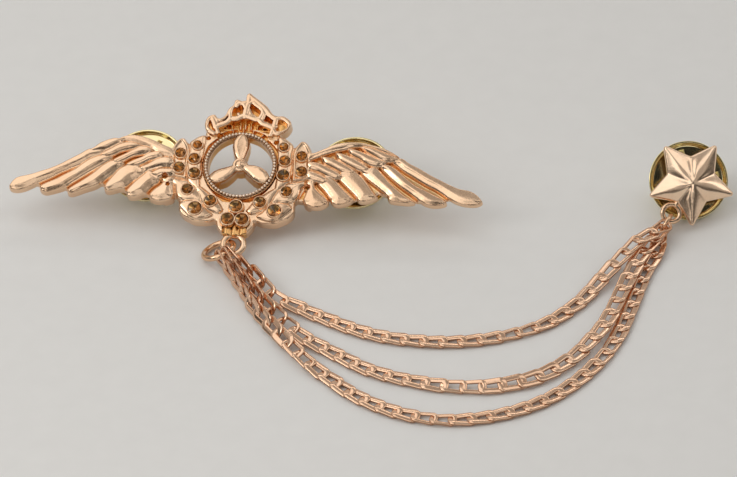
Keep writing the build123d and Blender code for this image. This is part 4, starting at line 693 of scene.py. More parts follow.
# crown: deep bed with thin walls
S = smooth_poly(CROWN, 3); s = F.win(S)
X, Y = F.X[s], F.Y[s]
dc = poly_dist(S, X, Y)
hc = np.full(X.shape, -1.45)
WALLS = [
    ([(-4.08, 6.05), (-3.31, 6.40), (-2.50, 6.79), (-2.08, 7.31), (-1.51, 7.37), (-0.96, 7.48), (-0.42, 7.79), (0.14, 7.86), (0.72, 7.76), (1.50, 7.45), (2.07, 7.37), (2.68, 6.80), (3.46, 6.49), (4.24, 6.21), (4.56, 6.35)], 0.27),
    ([(-4.06, 6.05), (-3.79, 5.39), (-3.38, 4.42)], 0.20), ([(4.25, 6.03), (4.01, 4.98), (3.70, 4.19)], 0.20),
    ([(-4.08, 6.05), (-4.33, 6.72), (-4.67, 7.43)], 0.30),
    ([(-4.27, 4.95), (-4.92, 5.34), (-5.40, 5.94), (-5.42, 6.77), (-5.01, 7.47), (-4.46, 7.65), (-4.11, 7.35), (-3.92, 6.94)], 0.22),
    ([(-2.89, 8.08), (-2.46, 8.61), (-2.22, 9.09), (-1.83, 9.52), (-1.46, 10.06), (-1.00, 10.19), (-0.64, 9.94), (-0.08, 9.96)], 0.26),
    ([(-3.95, 7.15), (-3.48, 7.12), (-2.95, 7.61), (-2.71, 8.24)], 0.20),
    ([(-2.08, 7.41), (-2.15, 8.05), (-2.10, 8.79), (-1.82, 9.37)], 0.20),
    ([(-0.77, 7.54), (-0.97, 8.21)], 0.15),
    ([(-1.31, 9.44), (-1.15, 9.76), (-0.50, 9.94), (-0.08, 9.39), (0.12, 9.08)], 0.20),
    ([(0.40, 11.20), (0.40, 10.45), (0.27, 9.71), (0.15, 9.09), (0.07, 8.46), (0.00, 7.83)], 0.30),
    ([(0.27, 9.71), (0.89, 10.21), (1.49, 9.76), (2.19, 9.27), (2.52, 8.77), (2.51, 8.25), (2.27, 7.72)], 0.22),
    ([(0.55, 11.05), (1.63, 10.25), (2.64, 9.35), (3.40, 8.60), (4.30, 7.90)], 0.42),
    ([(2.52, 8.77), (2.75, 8.25), (2.62, 7.52)], 0.20),
    ([(4.54, 7.65), (4.50, 6.97), (4.33, 6.24)], 0.28),
    ([(4.54, 7.65), (5.42, 7.78), (6.36, 7.20), (6.66, 6.55), (6.52, 5.95), (5.82, 5.46), (5.31, 5.29), (4.64, 5.32), (4.33, 5.72)], 0.24),
    ([(0.53, 8.89), (0.87, 8.18), (1.47, 7.79)], 0.18),
]
for P, w in WALLS:
    q = line_dist(smooth_poly(P, 4, False), X, Y)
    w = w * 1.45 + 0.05
    top = 0.06 if w > 0.33 else -0.04
    hc = np.maximum(hc, np.where(q < w + 0.25, -1.45 + (top + 1.45) * (1 - sstep(q, w * 0.80, w + 0.14)) - 0.10 * np.clip(q / w, 0, 1) ** 2, -9))
# ribs of the arcade under the arc
for a, r0_, r1_ in ((-3.05, 5.25, 6.25), (-2.45, 5.45, 6.5), (-1.75, 5.5, 6.8), (-0.55, 5.5, 7.1), (0.15, 5.5, 7.3), (0.95, 5.5, 7.2), (1.85, 5.5, 6.9), (2.55, 5.4, 6.6), (3.15, 5.2, 6.3)):
    b0_ = math.sqrt(max(0.1, r0_ ** 2 - a * a)); b1_ = math.sqrt(max(0.1, r1_ ** 2 - a * a * 0.4))
    q = line_dist([(a, b0_), (a * 1.03, b1_)], X, Y)
    hc = np.maximum(hc, np.where(q < 0.3, -1.45 + 0.62 * (1 - sstep(q, 0.05, 0.26)), -9))
# the lobes' beds stand higher than the rest
for ca, cb, rr_ in ((5.45, 6.55, 0.75), (-4.75, 6.45, 0.40)):
    q = np.hypot(X - ca, Y - cb)
    hc = np.maximum(hc, np.where(q < rr_ + 0.3, -0.95 + 0.25 * np.sqrt(np.clip(1 - (q / (rr_ + 0.3)) ** 2, 0, 1)), -9))
F.h[s] = np.where(dc > -0.05, np.maximum(F.h[s], np.where(dc > -0.05, hc, -9)), F.h[s])
F.o[s] = np.maximum(F.o[s], dc)

# beaded ring, pierced through
Rr = np.hypot(F.X, F.Y)
ring = (Rr > 4.55) & (Rr < 5.5)
hr = -0.32 + 0.06 * sstep(np.abs(Rr - 4.98), 0.16, 0.26) - 0.25 * sstep(np.abs(Rr - 4.98), 0.32, 0.46)
F.h = np.where(ring, np.maximum(np.where(F.h > -0.45, -0.45, F.h), hr), F.h)
F.o = np.where(Rr < 5.9, np.maximum(F.o, 5.42 - Rr), F.o)
F.o = np.where(Rr < 5.42, np.minimum(np.where(Rr < 5.42, 9.0, F.o), Rr - 4.60), F.o)
F.o = np.where((Rr >= 4.60) & (Rr < 5.42), np.minimum(Rr - 4.60, 0.9), F.o)
# trench round the ring, which takes the painted amber shade: wide under the crown, short at the foot
TH = np.degrees(np.arctan2(F.Y, F.X)) % 360
tw = np.interp(TH, [0, 18, 30, 60, 120, 150, 165, 205, 222, 240, 250, 264, 276, 288, 300, 320, 345, 360], [0.05, 0.22, 0.42, 0.20, 0.20, 0.38, 0.12, 0.05, 0.10, 0.30, 0.62, 0.30, 0.30, 0.55, 0.30, 0.14, 0.10, 0.05])
tr = (Rr > 5.42) & (Rr < 5.42 + tw) & ~((F.Y > 5.2) & (np.abs(F.X) < 4.3) & (F.h > -0.9))
F.h = np.where(tr, np.minimum(F.h, -1.30), F.h)
arc_ = (Rr > 5.42) & (Rr < 6.05) & (np.abs(TH - 91) < 38)
rib = np.clip(np.cos((TH - 91) * pi / 7.2), 0, 1) ** 3
F.h = np.where(arc_, np.minimum(F.h, -1.35 + 0.55 * rib), F.h)
# propeller in the opening
hp = np.full(F.X.shape, -9.0); op = np.full(F.X.shape, -9.0)
for ang in (90, 210, 330):
    c_, s_ = cos(rad(ang)), sin(rad(ang))
    U = F.X * c_ + F.Y * s_; V = -F.X * s_ + F.Y * c_
    halfw = np.interp(U, [-0.5, 0.0, 0.8, 1.8, 2.9, 3.8, 4.5, 4.9], [0.0, 0.50, 0.66, 1.02, 1.26, 1.22, 0.90, 0.52])
    sweep = 0.16 * np.sin(np.clip(U, 0, 5) / 5 * pi)
    d = np.where((U > -0.3) & (U < 4.95), halfw - np.abs(V - sweep), -1.0)
    tilt = 0.22 * np.clip((V - sweep) / 1.0, -1, 1) * sstep(U, 0.7, 2.0)     # twisted blade
    hh = -0.52 + 0.78 * pillow(d, 0.95) + tilt * 0.8
    hp = np.maximum(hp, np.where(d > 0, hh, -9)); op = np.maximum(op, d)
q = np.hypot(F.X, F.Y)
d = 1.22 - q
hp = np.maximum(hp, np.where(d > 0, -0.45 + 0.60 * pillow(d, 0.35), -9))
hp = np.maximum(hp, np.where(q < 0.74, 0.05 + 0.42 * np.sqrt(np.clip(1 - (q / 0.74) ** 2, 0, 1)), -9))
op = np.maximum(op, d)
inner = Rr < 4.75
F.h = np.where(inner & (hp > F.h), hp, np.where(Rr < 4.58, np.maximum(hp, -9), F.h))
F.o = np.where(inner, np.maximum(F.o, op), F.o)

# funnels for the seats (the bright collets are turned separately) and small open pits
for a, b, r in SEATS_R + SEATS_L:
    q = np.hypot(F.X - a, F.Y - b)
    F.h = np.where(q < r + 0.10, np.minimum(F.h, -1.35 + 0 * q), F.h)
for a, b in TREFOIL:
    q = np.hypot(F.X - a, F.Y - b)
    F.h = np.where(q < 1.10, -1.3, F.h); F.o = np.where(q < 1.12, np.maximum(F.o, 1.12 - q), F.o)
for a, b, r in ((-10.72, -2.15, 0.42), (9.95, -3.10, 0.45), (-10.2, -3.4, 0.30), (4.9, 4.0, 0.35), (-4.95, 4.35, 0.3)):
    q = np.hypot(F.X - a, F.Y - b)
    F.h = np.where(q < r, np.minimum(F.h, -1.55), F.h)
# toothed web under the trefoil
s = F.win([(-2.0, -11.2), (2.0, -9.2)], 0.3)
X, Y = F.X[s], F.Y[s]
m_ = (np.abs(X) < 1.75) & (Y < -9.55) & (Y > -11.0)
F.h[s] = np.where(m_, -0.78 + 0.26 * (0.5 + 0.5 * np.cos(X * 2 * pi / 1.15)) ** 0.6, F.h[s])

F.h = np.clip(F.h, -2.6, 1.0)
def relief(X, Y, Z):
    """Distance outside the block cut away behind the trefoil's foot."""
    qx, qy, qz = np.abs(X + 0.8) - 1.2, np.abs(Y + 11.0) - 0.6, np.abs(Z + 2.25) - 0.45
    q = np.maximum(np.maximum(qx, qy), qz)
    draft = 0.75 * np.clip(np.where(X > 0, -1.30, -1.65) - Z, 0, 2) * sstep(np.abs(X), 10.3, 11.2)      # the wings' rims slope inwards to the back
    return np.minimum(q, np.where(draft > 0, (F.o[..., None] - draft) / 1.25, 3.0)).astype(np.float32)


P, quads = volume_mesh(F, BACK, 0.55, soft=0.30, extra_cut=relief)
# painted shade: the deeper a point lies below its dilated, blurred surroundings, the more amber shade is painted on it
hd = blur(dilate(F.h, int(0.55 / STEP)), int(0.25 / STEP))
inn = sstep(F.o, 0.10, 0.55)
loc = sample(F, hd, P) - P[:, 2]
rec = np.clip((loc - 0.42) / 0.60, 0, 1) * sample(F, inn, P)
# the wall of the pierced ring and the bed of the crown get painted amber shade too, darker with depth
rr_ = np.hypot(P[:, 0], P[:, 1])
# on the wings the value turns negative, which paints the paler groove shade between the feathers
rec = np.where(np.abs(P[:, 0]) > 9.6, -rec * 0.95, rec)
ringwall = (rr_ < 4.72) & (P[:, 2] < -0.35)
crown_ = (P[:, 1] > 5.3) & (rr_ > 5.6) & (np.abs(P[:, 0]) < 7.2) & (P[:, 2] > -1.9)
rec = np.where(crown_, np.clip(rec * 1.7 + np.clip((-0.22 - P[:, 2]) / 0.9, 0, 1) * 0.30, 0, 0.93), rec)
rec = np.where(ringwall, np.clip((-P[:, 2] - 0.35) / 0.8, 0, 1) * 0.8, rec)
# painted dark brown shade in the channel under the beads
rec = np.where((np.abs(rr_ - 4.98) < 0.33) & (P[:, 2] < -0.12) & (P[:, 2] > -0.75), 1.5, rec)
# the toothed foot gets a fixed painted amber shade
foot = (np.abs(P[:, 0]) < 1.8) & (P[:, 1] < -9.5) & (P[:, 1] > -11.1) & (P[:, 2] > -1.9) & (P[:, 2] < -0.45)
rec = np.where(foot, 0.62, rec)
# a little painted shade on the flat back
rec = np.where(P[:, 2] < BACK + 0.05, 0.15, rec)
casting = fast_obj("brooch_body", world(FACE, P), quads, rec, mat_cast, "badge", ("badge_casting",))

# turned collets
sp = Soup(); pits = Soup()
def collet(fr, a, b, r, lip=0.16, top=0.10, depth=1.20):
    f_ = shifted(fr, a, b)
    prof = [(r + lip + 0.12, top - 0.62), (r + lip + 0.05, top - 0.22), (r + lip, top - 0.09), (r + lip * 0.75, top - 0.02), (r + lip * 0.45, top), (r + lip * 0.15, top - 0.02), (r, top - 0.08), (r - 0.02, top - 0.18),
            (r * 0.84, top - 0.42), (r * 0.62, top - 0.66), (r * 0.38, top - 0.90), (r * 0.16, top - depth), (0.001, top - depth - 0.02)]
    # painted shade at the collet's foot and down its inner wall
    rc = [0.6, 0.2, 0.0, 0.0, 0.0, 0.0, 0.6, 1.7, 2.0, 2.0, 2.0, 2.0, 2.0]
    lathe(sp, f_, prof[:9], 40, rc[:9])
    # the seat: a cone with a few cut facets; one facet is left bright as a painted highlight and the rest are painted
    # brown shade, darkest near the far side
    k_ = 8; aa = rad(165) + 0.8 * sin(a * 3.1 + b * 1.7); tb = aa + pi * 0.85
    th_ = np.arange(k_) * 2 * pi / k_ + aa
    rr3 = np.array([r * 0.985, r * 0.66, 0.03]); zz3 = np.array([top - 0.15, top - 0.46, top - depth * 0.72])
    jz = np.stack([np.zeros(k_), 0.15 * r * np.sin(th_ * 2.3 + a * 5.1 + b * 2.9), np.zeros(k_)], 1)
    G = np.stack([rr3[None] * np.cos(th_)[:, None], rr3[None] * np.sin(th_)[:, None], zz3[None] + jz], -1)
    wv = 1.22 - 1.60 * np.exp(-(((th_ - aa + pi) % (2 * pi) - pi) / 0.60) ** 2) + 0.65 * np.exp(-(((th_ - tb + pi) % (2 * pi) - pi) / 0.8) ** 2)
    pits.grid(world(f_, G), True, False, np.clip(np.stack([wv * 0.90, wv, wv * 1.05], 1), 0, 3))
for a, b, r in SEATS_R + SEATS_L:
    collet(FACE, a, b, r)
for a, b in TREFOIL:
    collet(FACE, a, b, 0.92, lip=0.18, top=0.16, depth=1.25)
for a, b, r in ((-10.72, -2.15, 0.36), (9.95, -3.10, 0.38)):
    collet(FACE, a, b, r, lip=0.10, top=-0.55, depth=0.6)
sp.obj("seat_collets", mat_cast, "badge", angle=50)
pits.obj("seat_pits", mat_pit, "badge", angle=30)

# beads of the ring
sp = Soup()
NB = 64
th = np.linspace(0, pi, 9); ph = np.linspace(0, 2 * pi, 14, endpoint=False)
sph = np.stack([np.sin(th)[:, None] * np.cos(ph)[None], np.sin(th)[:, None] * np.sin(ph)[None], np.cos(th)[:, None] * np.ones(14)[None]], -1)
for k in range(NB):
    a = 2 * pi * k / NB
    jit = 1.0 + 0.05 * sin(k * 12.9898)
    sp.grid(world(shifted(FACE, 4.98 * cos(a), 4.98 * sin(a), -0.09), sph * 0.226 * jit), False, True)
sp.obj("ring_beads", mat_bead, "badge", angle=None)

# hanging eye, with its flat seam
sp = Soup()
torus(sp, shifted(FACE, 0, -12.15, -1.30), 1.47, 0.44, 80, 24, flat=0.40)
sp.obj("hanging_eye", mat_cast, "badge", angle=50)

# ------------------------------------------------------------------ star
FS = Field(-7.2, 7.2, -7.2, 7.2, 0.05)
outl = []
for k in range(5):
    for r_, off in ((5.88, 0), (3.20, 36)):
        a = rad(-24.6 + 72 * k + off); outl.append((r_ * cos(a), r_ * sin(a)))
d = poly_dist(np.array(outl), FS.X, FS.Y) + 0.40       # rounded tips
rt, ri = 6.24, 3.55
tip = np.array((rt, 0.0)); notch = np.array((ri * cos(rad(36)), ri * sin(rad(36))))
c2 = np.linalg.solve(np.array([tip, notch]), np.array([1.0, 1.0]))
lvl = np.zeros_like(FS.X)
for _ in range(6):       # the crest sits a little below the middle
    wx, wy = FS.X - 0.05 * (1 - lvl.clip(0, 1)), FS.Y + 0.42 * (1 - lvl.clip(0, 1))
    q = np.hypot(wx, wy)
    seg = (np.arctan2(wy, wx) - rad(-24.6)) % rad(72); seg = np.minimum(seg, rad(72) - seg)
    lvl = q * np.cos(seg) * c2[0] + q * np.sin(seg) * c2[1]
peak, edge_ = 0.84, -0.72
hs = peak + (edge_ - peak) * lvl
hs = hs + 0.16 * np.sin(np.clip(lvl, 0, 1) * pi) * np.sin(np.clip(seg / rad(36), 0, 1) * pi)      # full, softly swelling facets
FS.h = np.where(d > -0.5, hs, -1.3).clip(-1.3, 1)
FS.h = blur(blur(FS.h, max(1, int(0.22 / FS.step))), max(1, int(0.16 / FS.step)))
FS.o = d
PS, qs = volume_mesh(FS, -1.60, 0.8, soft=0.30)
# painted shade low on the star's side walls
recS = np.clip((-PS[:, 2] - 1.1) / 0.6, 0, 1) * 0.35
fast_obj("star_body", world(STAR, PS), qs, recS, mat_star, "star", ("star_casting",), angle=None)
sp = Soup()
torus(sp, shifted(STAR, -3.45, -4.12, -1.10), 1.25, 0.36, 72, 20, flat=0.33)
lug = [(-2.25, -2.55), (-2.5, -2.9), (-2.72, -3.2)]
tube(sp, [(x, y, -1.15) for x, y in lug], 0.42, 14, to_world=STAR)
sp.obj("star_eye", mat_cast, "star", angle=50)

# ------------------------------------------------------------------ posts
for nm, (fr, a, b) in POSTS.items():
    body = "star" if nm == "star" else "badge"
    bk = -1.60 if nm == "star" else BACK
    sp = Soup()
    prof = [(0.001, bk), (0.93, bk), (0.95, bk - 0.04), (0.93, bk - 0.12), (0.66, bk - 0.24), (0.55, bk - 0.36), (0.55, -4.60), (0.42, -4.72), (0.42, -5.78), (0.55, -5.90),
            (0.55, -7.22), (0.50, -7.40), (0.12, -8.14), (0.06, -8.19), (0.001, -8.20)]
    lathe(sp, shifted(fr, a, b), prof, 40)
    sp.obj(nm + "_nail_post", mat_post, body, (nm + "_post",), angle=35)

# ------------------------------------------------------------------ clutches
def arcp(cx, cz, r, a0, a1, n):
    return [(cx + r * cos(rad(a0 + (a1 - a0) * i / n)), cz + r * sin(rad(a0 + (a1 - a0) * i / n))) for i in range(n + 1)]


CR, CT, CB, CWL, CE = 5.70, -3.20, -4.25, 0.33, 0.78
for nm, (fr, a, b) in POSTS.items():
    f_ = shifted(fr, a, b); body = nm + "_clutch"
    sp = Soup()
    ri = CR - CWL; ei = CE - CWL
    prof = [(0.60, CB + 0.03), (0.64, CB), (1.6, CB), (3.4, CB)] + arcp(CR - CE, CB + CE, CE, -90, 0, 10) + \
           [(CR, CT - 0.14)] + arcp(CR - 0.10, CT - 0.10, 0.10, 0, 90, 4)[0:] + arcp(ri + 0.10, CT - 0.10, 0.10, 90, 180, 4) + \
           [(ri, CB + CE)] + arcp(ri - ei, CB + CE, ei, 0, -90, 8) + \
           [(3.6, CB + CWL), (2.2, CB + CWL), (1.35, CB + CWL), (1.15, CB + CWL + 0.06), (0.95, CB + CWL + 0.05), (0.72, CB + CWL - 0.01), (0.62, CB + CWL - 0.05)]
    # slight painted shade on the floor of the cup round the post
    lathe(sp, f_, prof, 128, [0.0] * (len(prof) - 7) + [0.25] * 7, close=True)
    teeth = Soup()
    for k in range(4):
        an = rad({"left": 71, "right": 25, "star": 95}[nm] + 90 * k)
        ft = shifted(f_, 4.15 * cos(an), 4.15 * sin(an), CB + CWL)
        w = 0.60
        base = [(w * cos(an + rad(45 + 90 * j)) * 1.0, w * sin(an + rad(45 + 90 * j)), -0.04) for j in range(4)]
        mid = [(x * 0.52, y * 0.52, 0.36) for x, y, z in base]
        apex = (0.10 * cos(an), 0.10 * sin(an), 0.80)
        pts = base + mid + [apex]
        teeth.add(world(ft, pts), [(0, 1, 5, 4), (1, 2, 6, 5), (2, 3, 7, 6), (3, 0, 4, 7), (4, 5, 8), (5, 6, 8), (6, 7, 8), (7, 4, 8), (3, 2, 1, 0)], 0.0)
    sp.obj(nm + "_cup", mat_cup, body, (nm + "_clutch_cup",), angle=30)
    teeth.obj(nm + "_cup_teeth", mat_tooth, body, angle=20)
    # bracket, wings and spring keep their exact CAD shapes, with a finished metal

# ------------------------------------------------------------------ rings
sp = Soup()
torus(sp, plane((-20.8820, 6.1050, 1.3320), (-0.327874, 0.211919, 0.920646)), 2.25, 0.44, 96, 24)
sp.obj("jump_ring_wire", mat_ring, "jump_ring", ("jump_ring",), angle=None)
sp = Soup()
torus(sp, plane((42.7209, 15.3169, 1.7110), (0.862113, -0.318884, -0.393794)), 1.45, 0.245, 80, 18)
sp.obj("star_ring_wire", mat_ring, "star_ring", ("star_ring",), angle=None)

# ------------------------------------------------------------------ chain links
def link_mesh(W_=0.45, B_=0.785, H_=0.18, T_=0.19, RC=0.60):
    A_ = 1.655
    C = [np.array(v) for v in ((A_, B_, H_), (-A_, B_, -H_), (-A_, -B_, H_), (A_, -B_, -H_))]
    pts = []
    for i in range(4):
        p0, p1, p2 = C[i - 1], C[i], C[(i + 1) % 4]
        d0 = (p0 - p1) / np.linalg.norm(p0 - p1); d2 = (p2 - p1) / np.linalg.norm(p2 - p1)
        an = math.acos(np.dot(d0, d2)); tl = RC / math.tan(an / 2)
        bis = (d0 + d2) / np.linalg.norm(d0 + d2); cc = p1 + bis * RC / sin(an / 2)
        v0 = p1 + d0 * tl - cc; v2 = p1 + d2 * tl - cc
        w = math.acos(np.clip(np.dot(v0, v2) / RC ** 2, -1, 1))
        n = 9
        for k in range(n):
            q = k / (n - 1)
            pts.append(cc + (sin((1 - q) * w) * v0 + sin(q * w) * v2) / sin(w))
        # the straights between the corners are split below into pieces of about 0.3 mm
    P = np.array(pts); out = []
    for i in range(len(P)):
        p, q = P[i], P[(i + 1) % len(P)]
        L = np.linalg.norm(q - p); m = max(1, int(round(L / 0.30)))
        for k in range(m):
            out.append(p + (q - p) * k / m)
    P = np.array(out)
    T = np.roll(P, -1, 0) - np.roll(P, 1, 0); T /= np.linalg.norm(T, axis=1)[:, None]
    a = np.cross(T, (0, 0, 1.0)); a /= np.linalg.norm(a, axis=1)[:, None]
    b = np.cross(a, T)
    ph = np.linspace(0, 2 * pi, 16, endpoint=False)
    cx_, sz_ = np.cos(ph), np.sin(ph)
    u_ = W_ * np.sign(cx_) * np.abs(cx_) ** 0.75          # in the plane of the link
    v_ = T_ * np.sign(sz_) * np.abs(sz_) ** 0.55          # rolled flat on both faces
    wide = 1.0 + 0.04 * (1 - np.abs(T[:, 0]))             # the bows spread wider than the sides
    G = P[:, None] + (u_[None, :] * wide[:, None])[..., None] * a[:, None] + v_[None, :, None] * b[:, None]
    G[..., 2] = np.clip(G[..., 2], -0.42, 0.42)
    # painted shade along the narrow inner and outer sides of the wire, between the flat faces
    rc = np.clip((0.15 - np.abs(v_)) / 0.15, 0, 1)[None] * 0.7 * np.ones((len(P), 1))
    return G, rc


LG, LRC = link_mesh()
NG, NRC = link_mesh(0.31, 0.82)      # links at a fold line or a ring are rolled a little narrower, to keep them free
TG, TRC = link_mesh(0.24, 0.91, 0.38, 0.21, 0.64)    # the three that need the most room keep the bare wire
SG, SRC = link_mesh(0.19, 0.93, 0.40, 0.17, 0.65)    # and the inner chain's end link is filed slimmer in the star ring
BARE = {("middle", 5): (TG, TRC), ("middle", 6): (TG, TRC), ("inner", len(INNER_LINKS) - 1): (SG, SRC)}
CUTS = {"inner": [4, 18, 26], "middle": [6, 17, 28], "outer": [9, 18, 29]}
for cname, rows in (("inner", INNER_LINKS), ("middle", MIDDLE_LINKS), ("outer", OUTER_LINKS)):
    bd = [0] + CUTS[cname] + [len(rows)]
    for k in range(4):
        sp = Soup()
        for i in range(bd[k], bd[k + 1]):
            v = rows[i]; end = i in (bd[k], bd[k + 1] - 1)
            g_, c_ = BARE.get((cname, i), (NG, NRC) if end else (LG, LRC))
            sp.grid(world(plane(v[0:3], v[6:9], v[3:6]), g_), True, True, c_)
        node = cname + "_chain_%d" % (k + 1)
        sp.obj(cname + "_links_%d" % (k + 1), mat_chain, "chains_%d" % (k + 1), (node,), angle=None)

# CAD nodes that stay: finished metal in their slots
for nm in POSTS:
    for node, mt in ((nm + "_clutch_bracket", mat_cup), (nm + "_clutch_wing_a", mat_cup), (nm + "_clutch_wing_b", mat_cup), (nm + "_clutch_spring", mat_spring)):
        ob = frame["nodes"][node]
        if not hasattr(ob, "material_slots"):
            ob = bpy.data.objects[node]
        for sl in ob.material_slots:
            sl.material = mt
        if not ob.material_slots:
            ob.data.materials.append(mt)

# ------------------------------------------------------------------ floor, light, camera
fl = bpy.data.meshes.new("floor")
fl.from_pydata([(-1.5, -1.5, -0.00002), (1.5, -1.5, -0.00002), (1.5, 1.5, -0.00002), (-1.5, 1.5, -0.00002)], [], [(0, 1, 2, 3)])
floor = bpy.data.objects.new("floor", fl); bpy.context.scene.collection.objects.link(floor)
m, nt = nodes_of("floor_paper")
o_ = nt.nodes.new("ShaderNodeOutputMaterial"); b_ = nt.nodes.new("ShaderNodeBsdfPrincipled"); nt.links.new(b_.outputs[0], o_.inputs[0])
nz = nt.nodes.new("ShaderNodeTexNoise"); nz.inputs["Scale"].default_value = 900.0
rp = nt.nodes.new("ShaderNodeValToRGB"); rp.color_ramp.elements[0].color = (0.80, 0.80, 0.79, 1); rp.color_ramp.elements[1].color = (0.84, 0.84, 0.83, 1)
nt.links.new(nz.outputs["Fac"], rp.inputs[0]); nt.links.new(rp.outputs[0], b_.inputs["Base Color"])
b_.inputs["Roughness"].default_value = 0.75
fl.materials.append(m)

sc = bpy.context.scene
w = bpy.data.worlds.new("studio"); sc.world = w; w.use_nodes = True
nt = w.node_tree
for n in list(nt.nodes):
    nt.nodes.remove(n)
wo = nt.nodes.new("ShaderNodeOutputWorld"); bg = nt.nodes.new("ShaderNodeBackground")
tcw = nt.nodes.new("ShaderNodeTexCoord"); sepw = nt.nodes.new("ShaderNodeSeparateXYZ")
nt.links.new(tcw.outputs["Generated"], sepw.inputs[0])
rw = nt.nodes.new("ShaderNodeValToRGB")
els = rw.color_ramp.elements
els[0].position = 0.0; els[0].color = (0.30, 0.28, 0.26, 1)
els[1].position = 1.0; els[1].color = (0.36, 0.35, 0.34, 1)
for p_, c_ in ((0.50, 0.26), (0.55, 0.10), (0.66, 0.07), (0.74, 0.28), (0.80, 0.44), (0.93, 0.37)):
    e_ = els.new(p_); e_.color = (c_, c_ * 0.965, c_ * 0.92, 1)
mw = nt.nodes.new("ShaderNodeMath"); mw.operation = "MULTIPLY_ADD"; mw.inputs[1].default_value = 0.5; mw.inputs[2].default_value = 0.5
nt.links.new(sepw.outputs["Z"], mw.inputs[0]); nt.links.new(mw.outputs[0], rw.inputs[0])
# low band: brighter behind the piece than in front of it
yb = nt.nodes.new("ShaderNodeMapRange"); yb.interpolation_type = "SMOOTHSTEP"
yb.inputs["From Min"].default_value = -0.10; yb.inputs["From Max"].default_value = 0.55
nt.links.new(sepw.outputs["Y"], yb.inputs["Value"])
zb = nt.nodes.new("ShaderNodeMapRange"); zb.interpolation_type = "SMOOTHSTEP"
zb.inputs["From Min"].default_value = 0.62; zb.inputs["From Max"].default_value = 0.30
nt.links.new(sepw.outputs["Z"], zb.inputs["Value"])
pb = nt.nodes.new("ShaderNodeMath"); pb.operation = "MULTIPLY"
nt.links.new(yb.outputs[0], pb.inputs[0]); nt.links.new(zb.outputs[0], pb.inputs[1])
bb = nt.nodes.new("ShaderNodeMix"); bb.data_type = "RGBA"; bb.inputs[7].default_value = (0.60, 0.575, 0.55, 1)
nt.links.new(pb.outputs[0], bb.inputs[0]); nt.links.new(rw.outputs[0], bb.inputs[6])
# the dark room opening in front of the piece
dt = nt.nodes.new("ShaderNodeVectorMath"); dt.operation = "DOT_PRODUCT"
e, psi, roll = rad(40.0), rad(8.7), rad(-3.5)
c = Vector((sin(psi) * cos(e), -cos(psi) * cos(e), sin(e)))
r0 = Vector((cos(psi), sin(psi), 0)); u0 = c.cross(r0)
r = r0 * cos(roll) + u0 * sin(roll); u = -r0 * sin(roll) + u0 * cos(roll)
sn = Vector(STAR[3]); dt.inputs[1].default_value = (2 * sn.dot(c) * sn - c - 0.08 * r - 0.05 * u).normalized()
nt.links.new(tcw.outputs["Generated"], dt.inputs[0])
dk = nt.nodes.new("ShaderNodeMapRange"); dk.interpolation_type = "SMOOTHSTEP"
dk.inputs["From Min"].default_value = cos(rad(24)); dk.inputs["From Max"].default_value = cos(rad(17))
dk.inputs["To Min"].default_value = 1.0; dk.inputs["To Max"].default_value = 0.04
nt.links.new(dt.outputs["Value"], dk.inputs["Value"])
ml = nt.nodes.new("ShaderNodeVectorMath"); ml.operation = "SCALE"
nt.links.new(bb.outputs[2], ml.inputs[0]); nt.links.new(dk.outputs[0], ml.inputs["Scale"])
nt.links.new(ml.outputs[0], bg.inputs[0]); bg.inputs[1].default_value = 1.0
nt.links.new(bg.outputs[0], wo.inputs[0])


def area(name, loc, target, size, power, color=(1, 1, 1), size_y=None):
    ld = bpy.data.lights.new(name, "AREA"); ld.shape = "RECTANGLE" if size_y else "SQUARE"
    ld.size = size
    if size_y:
        ld.size_y = size_y
    ld.energy = power; ld.color = color
    ob = bpy.data.objects.new(name, ld); sc.collection.objects.link(ob)
    ob.location = loc
    ob.rotation_euler = (Vector(target) - Vector(loc)).to_track_quat("-Z", "Y").to_euler()
    return ob


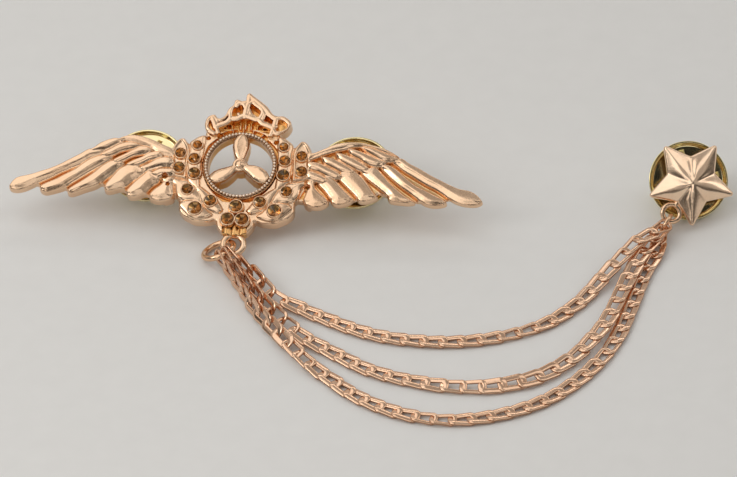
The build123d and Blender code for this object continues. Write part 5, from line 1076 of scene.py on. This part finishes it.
def soft(name, loc, target, sx, sy, radiance, color=(1, 1, 1)):
    """A softbox of the given surface brightness."""
    return area(name, loc, target, sx, radiance * pi * sx * sy, color, sy)


soft("overhead", (-0.213, -0.03, 0.36), (-0.213, -0.03, 0.0), 0.34, 0.56, 0.86, (1.0, 0.98, 0.95))
soft("key", (-0.36, -0.16, 0.28), (0, 0, 0.0), 0.16, 0.16, 3.4, (1.0, 0.98, 0.95))
soft("front", (0.16, -0.40, 0.20), (0.02, 0, 0.0), 0.26, 0.12, 1.3, (1.0, 0.96, 0.92))
soft("front_left", (-0.16, -0.42, 0.22), (0.0, 0, 0.0), 0.16, 0.22, 0.9, (1.0, 0.96, 0.92))
soft("fill_left", (0.03, -0.19, 0.285), (-0.02, 0, 0.0), 0.12, 0.10, 0.90, (1.0, 0.98, 0.95))
soft("top_right", (0.165, 0.04, 0.36), (0.11, 0.0, 0.0), 0.14, 0.30, 0.74, (1.0, 0.98, 0.95))
soft("back", (0.02, 0.40, 0.33), (0.02, 0, 0.0), 0.55, 0.055, 1.7, (1.0, 0.97, 0.93))
soft("right", (0.40, 0.06, 0.22), (0, 0, 0.0), 0.10, 0.30, 1.0, (1.0, 0.97, 0.94))

e, psi, roll = rad(40.0), rad(8.7), rad(-3.5)
c = Vector((sin(psi) * cos(e), -cos(psi) * cos(e), sin(e)))
r0 = Vector((cos(psi), sin(psi), 0)); u0 = c.cross(r0)
r = r0 * cos(roll) + u0 * sin(roll); u = -r0 * sin(roll) + u0 * cos(roll)
centre = Vector(FACE_O * MM) + r * 0.01847 - u * 0.01060
cd = bpy.data.cameras.new("camera"); cam = bpy.data.objects.new("camera", cd); sc.collection.objects.link(cam)
D = 1.60
loc = centre + c * D
cam.matrix_world = Matrix(((r.x, u.x, c.x, loc.x), (r.y, u.y, c.y, loc.y), (r.z, u.z, c.z, loc.z), (0, 0, 0, 1)))
cd.sensor_width = 36.0; cd.lens = 36.0 * D / (737 * 0.1437 * MM)
cd.clip_start = 0.01; cd.clip_end = 10.0
sc.camera = cam
sc.view_settings.view_transform = "Standard"
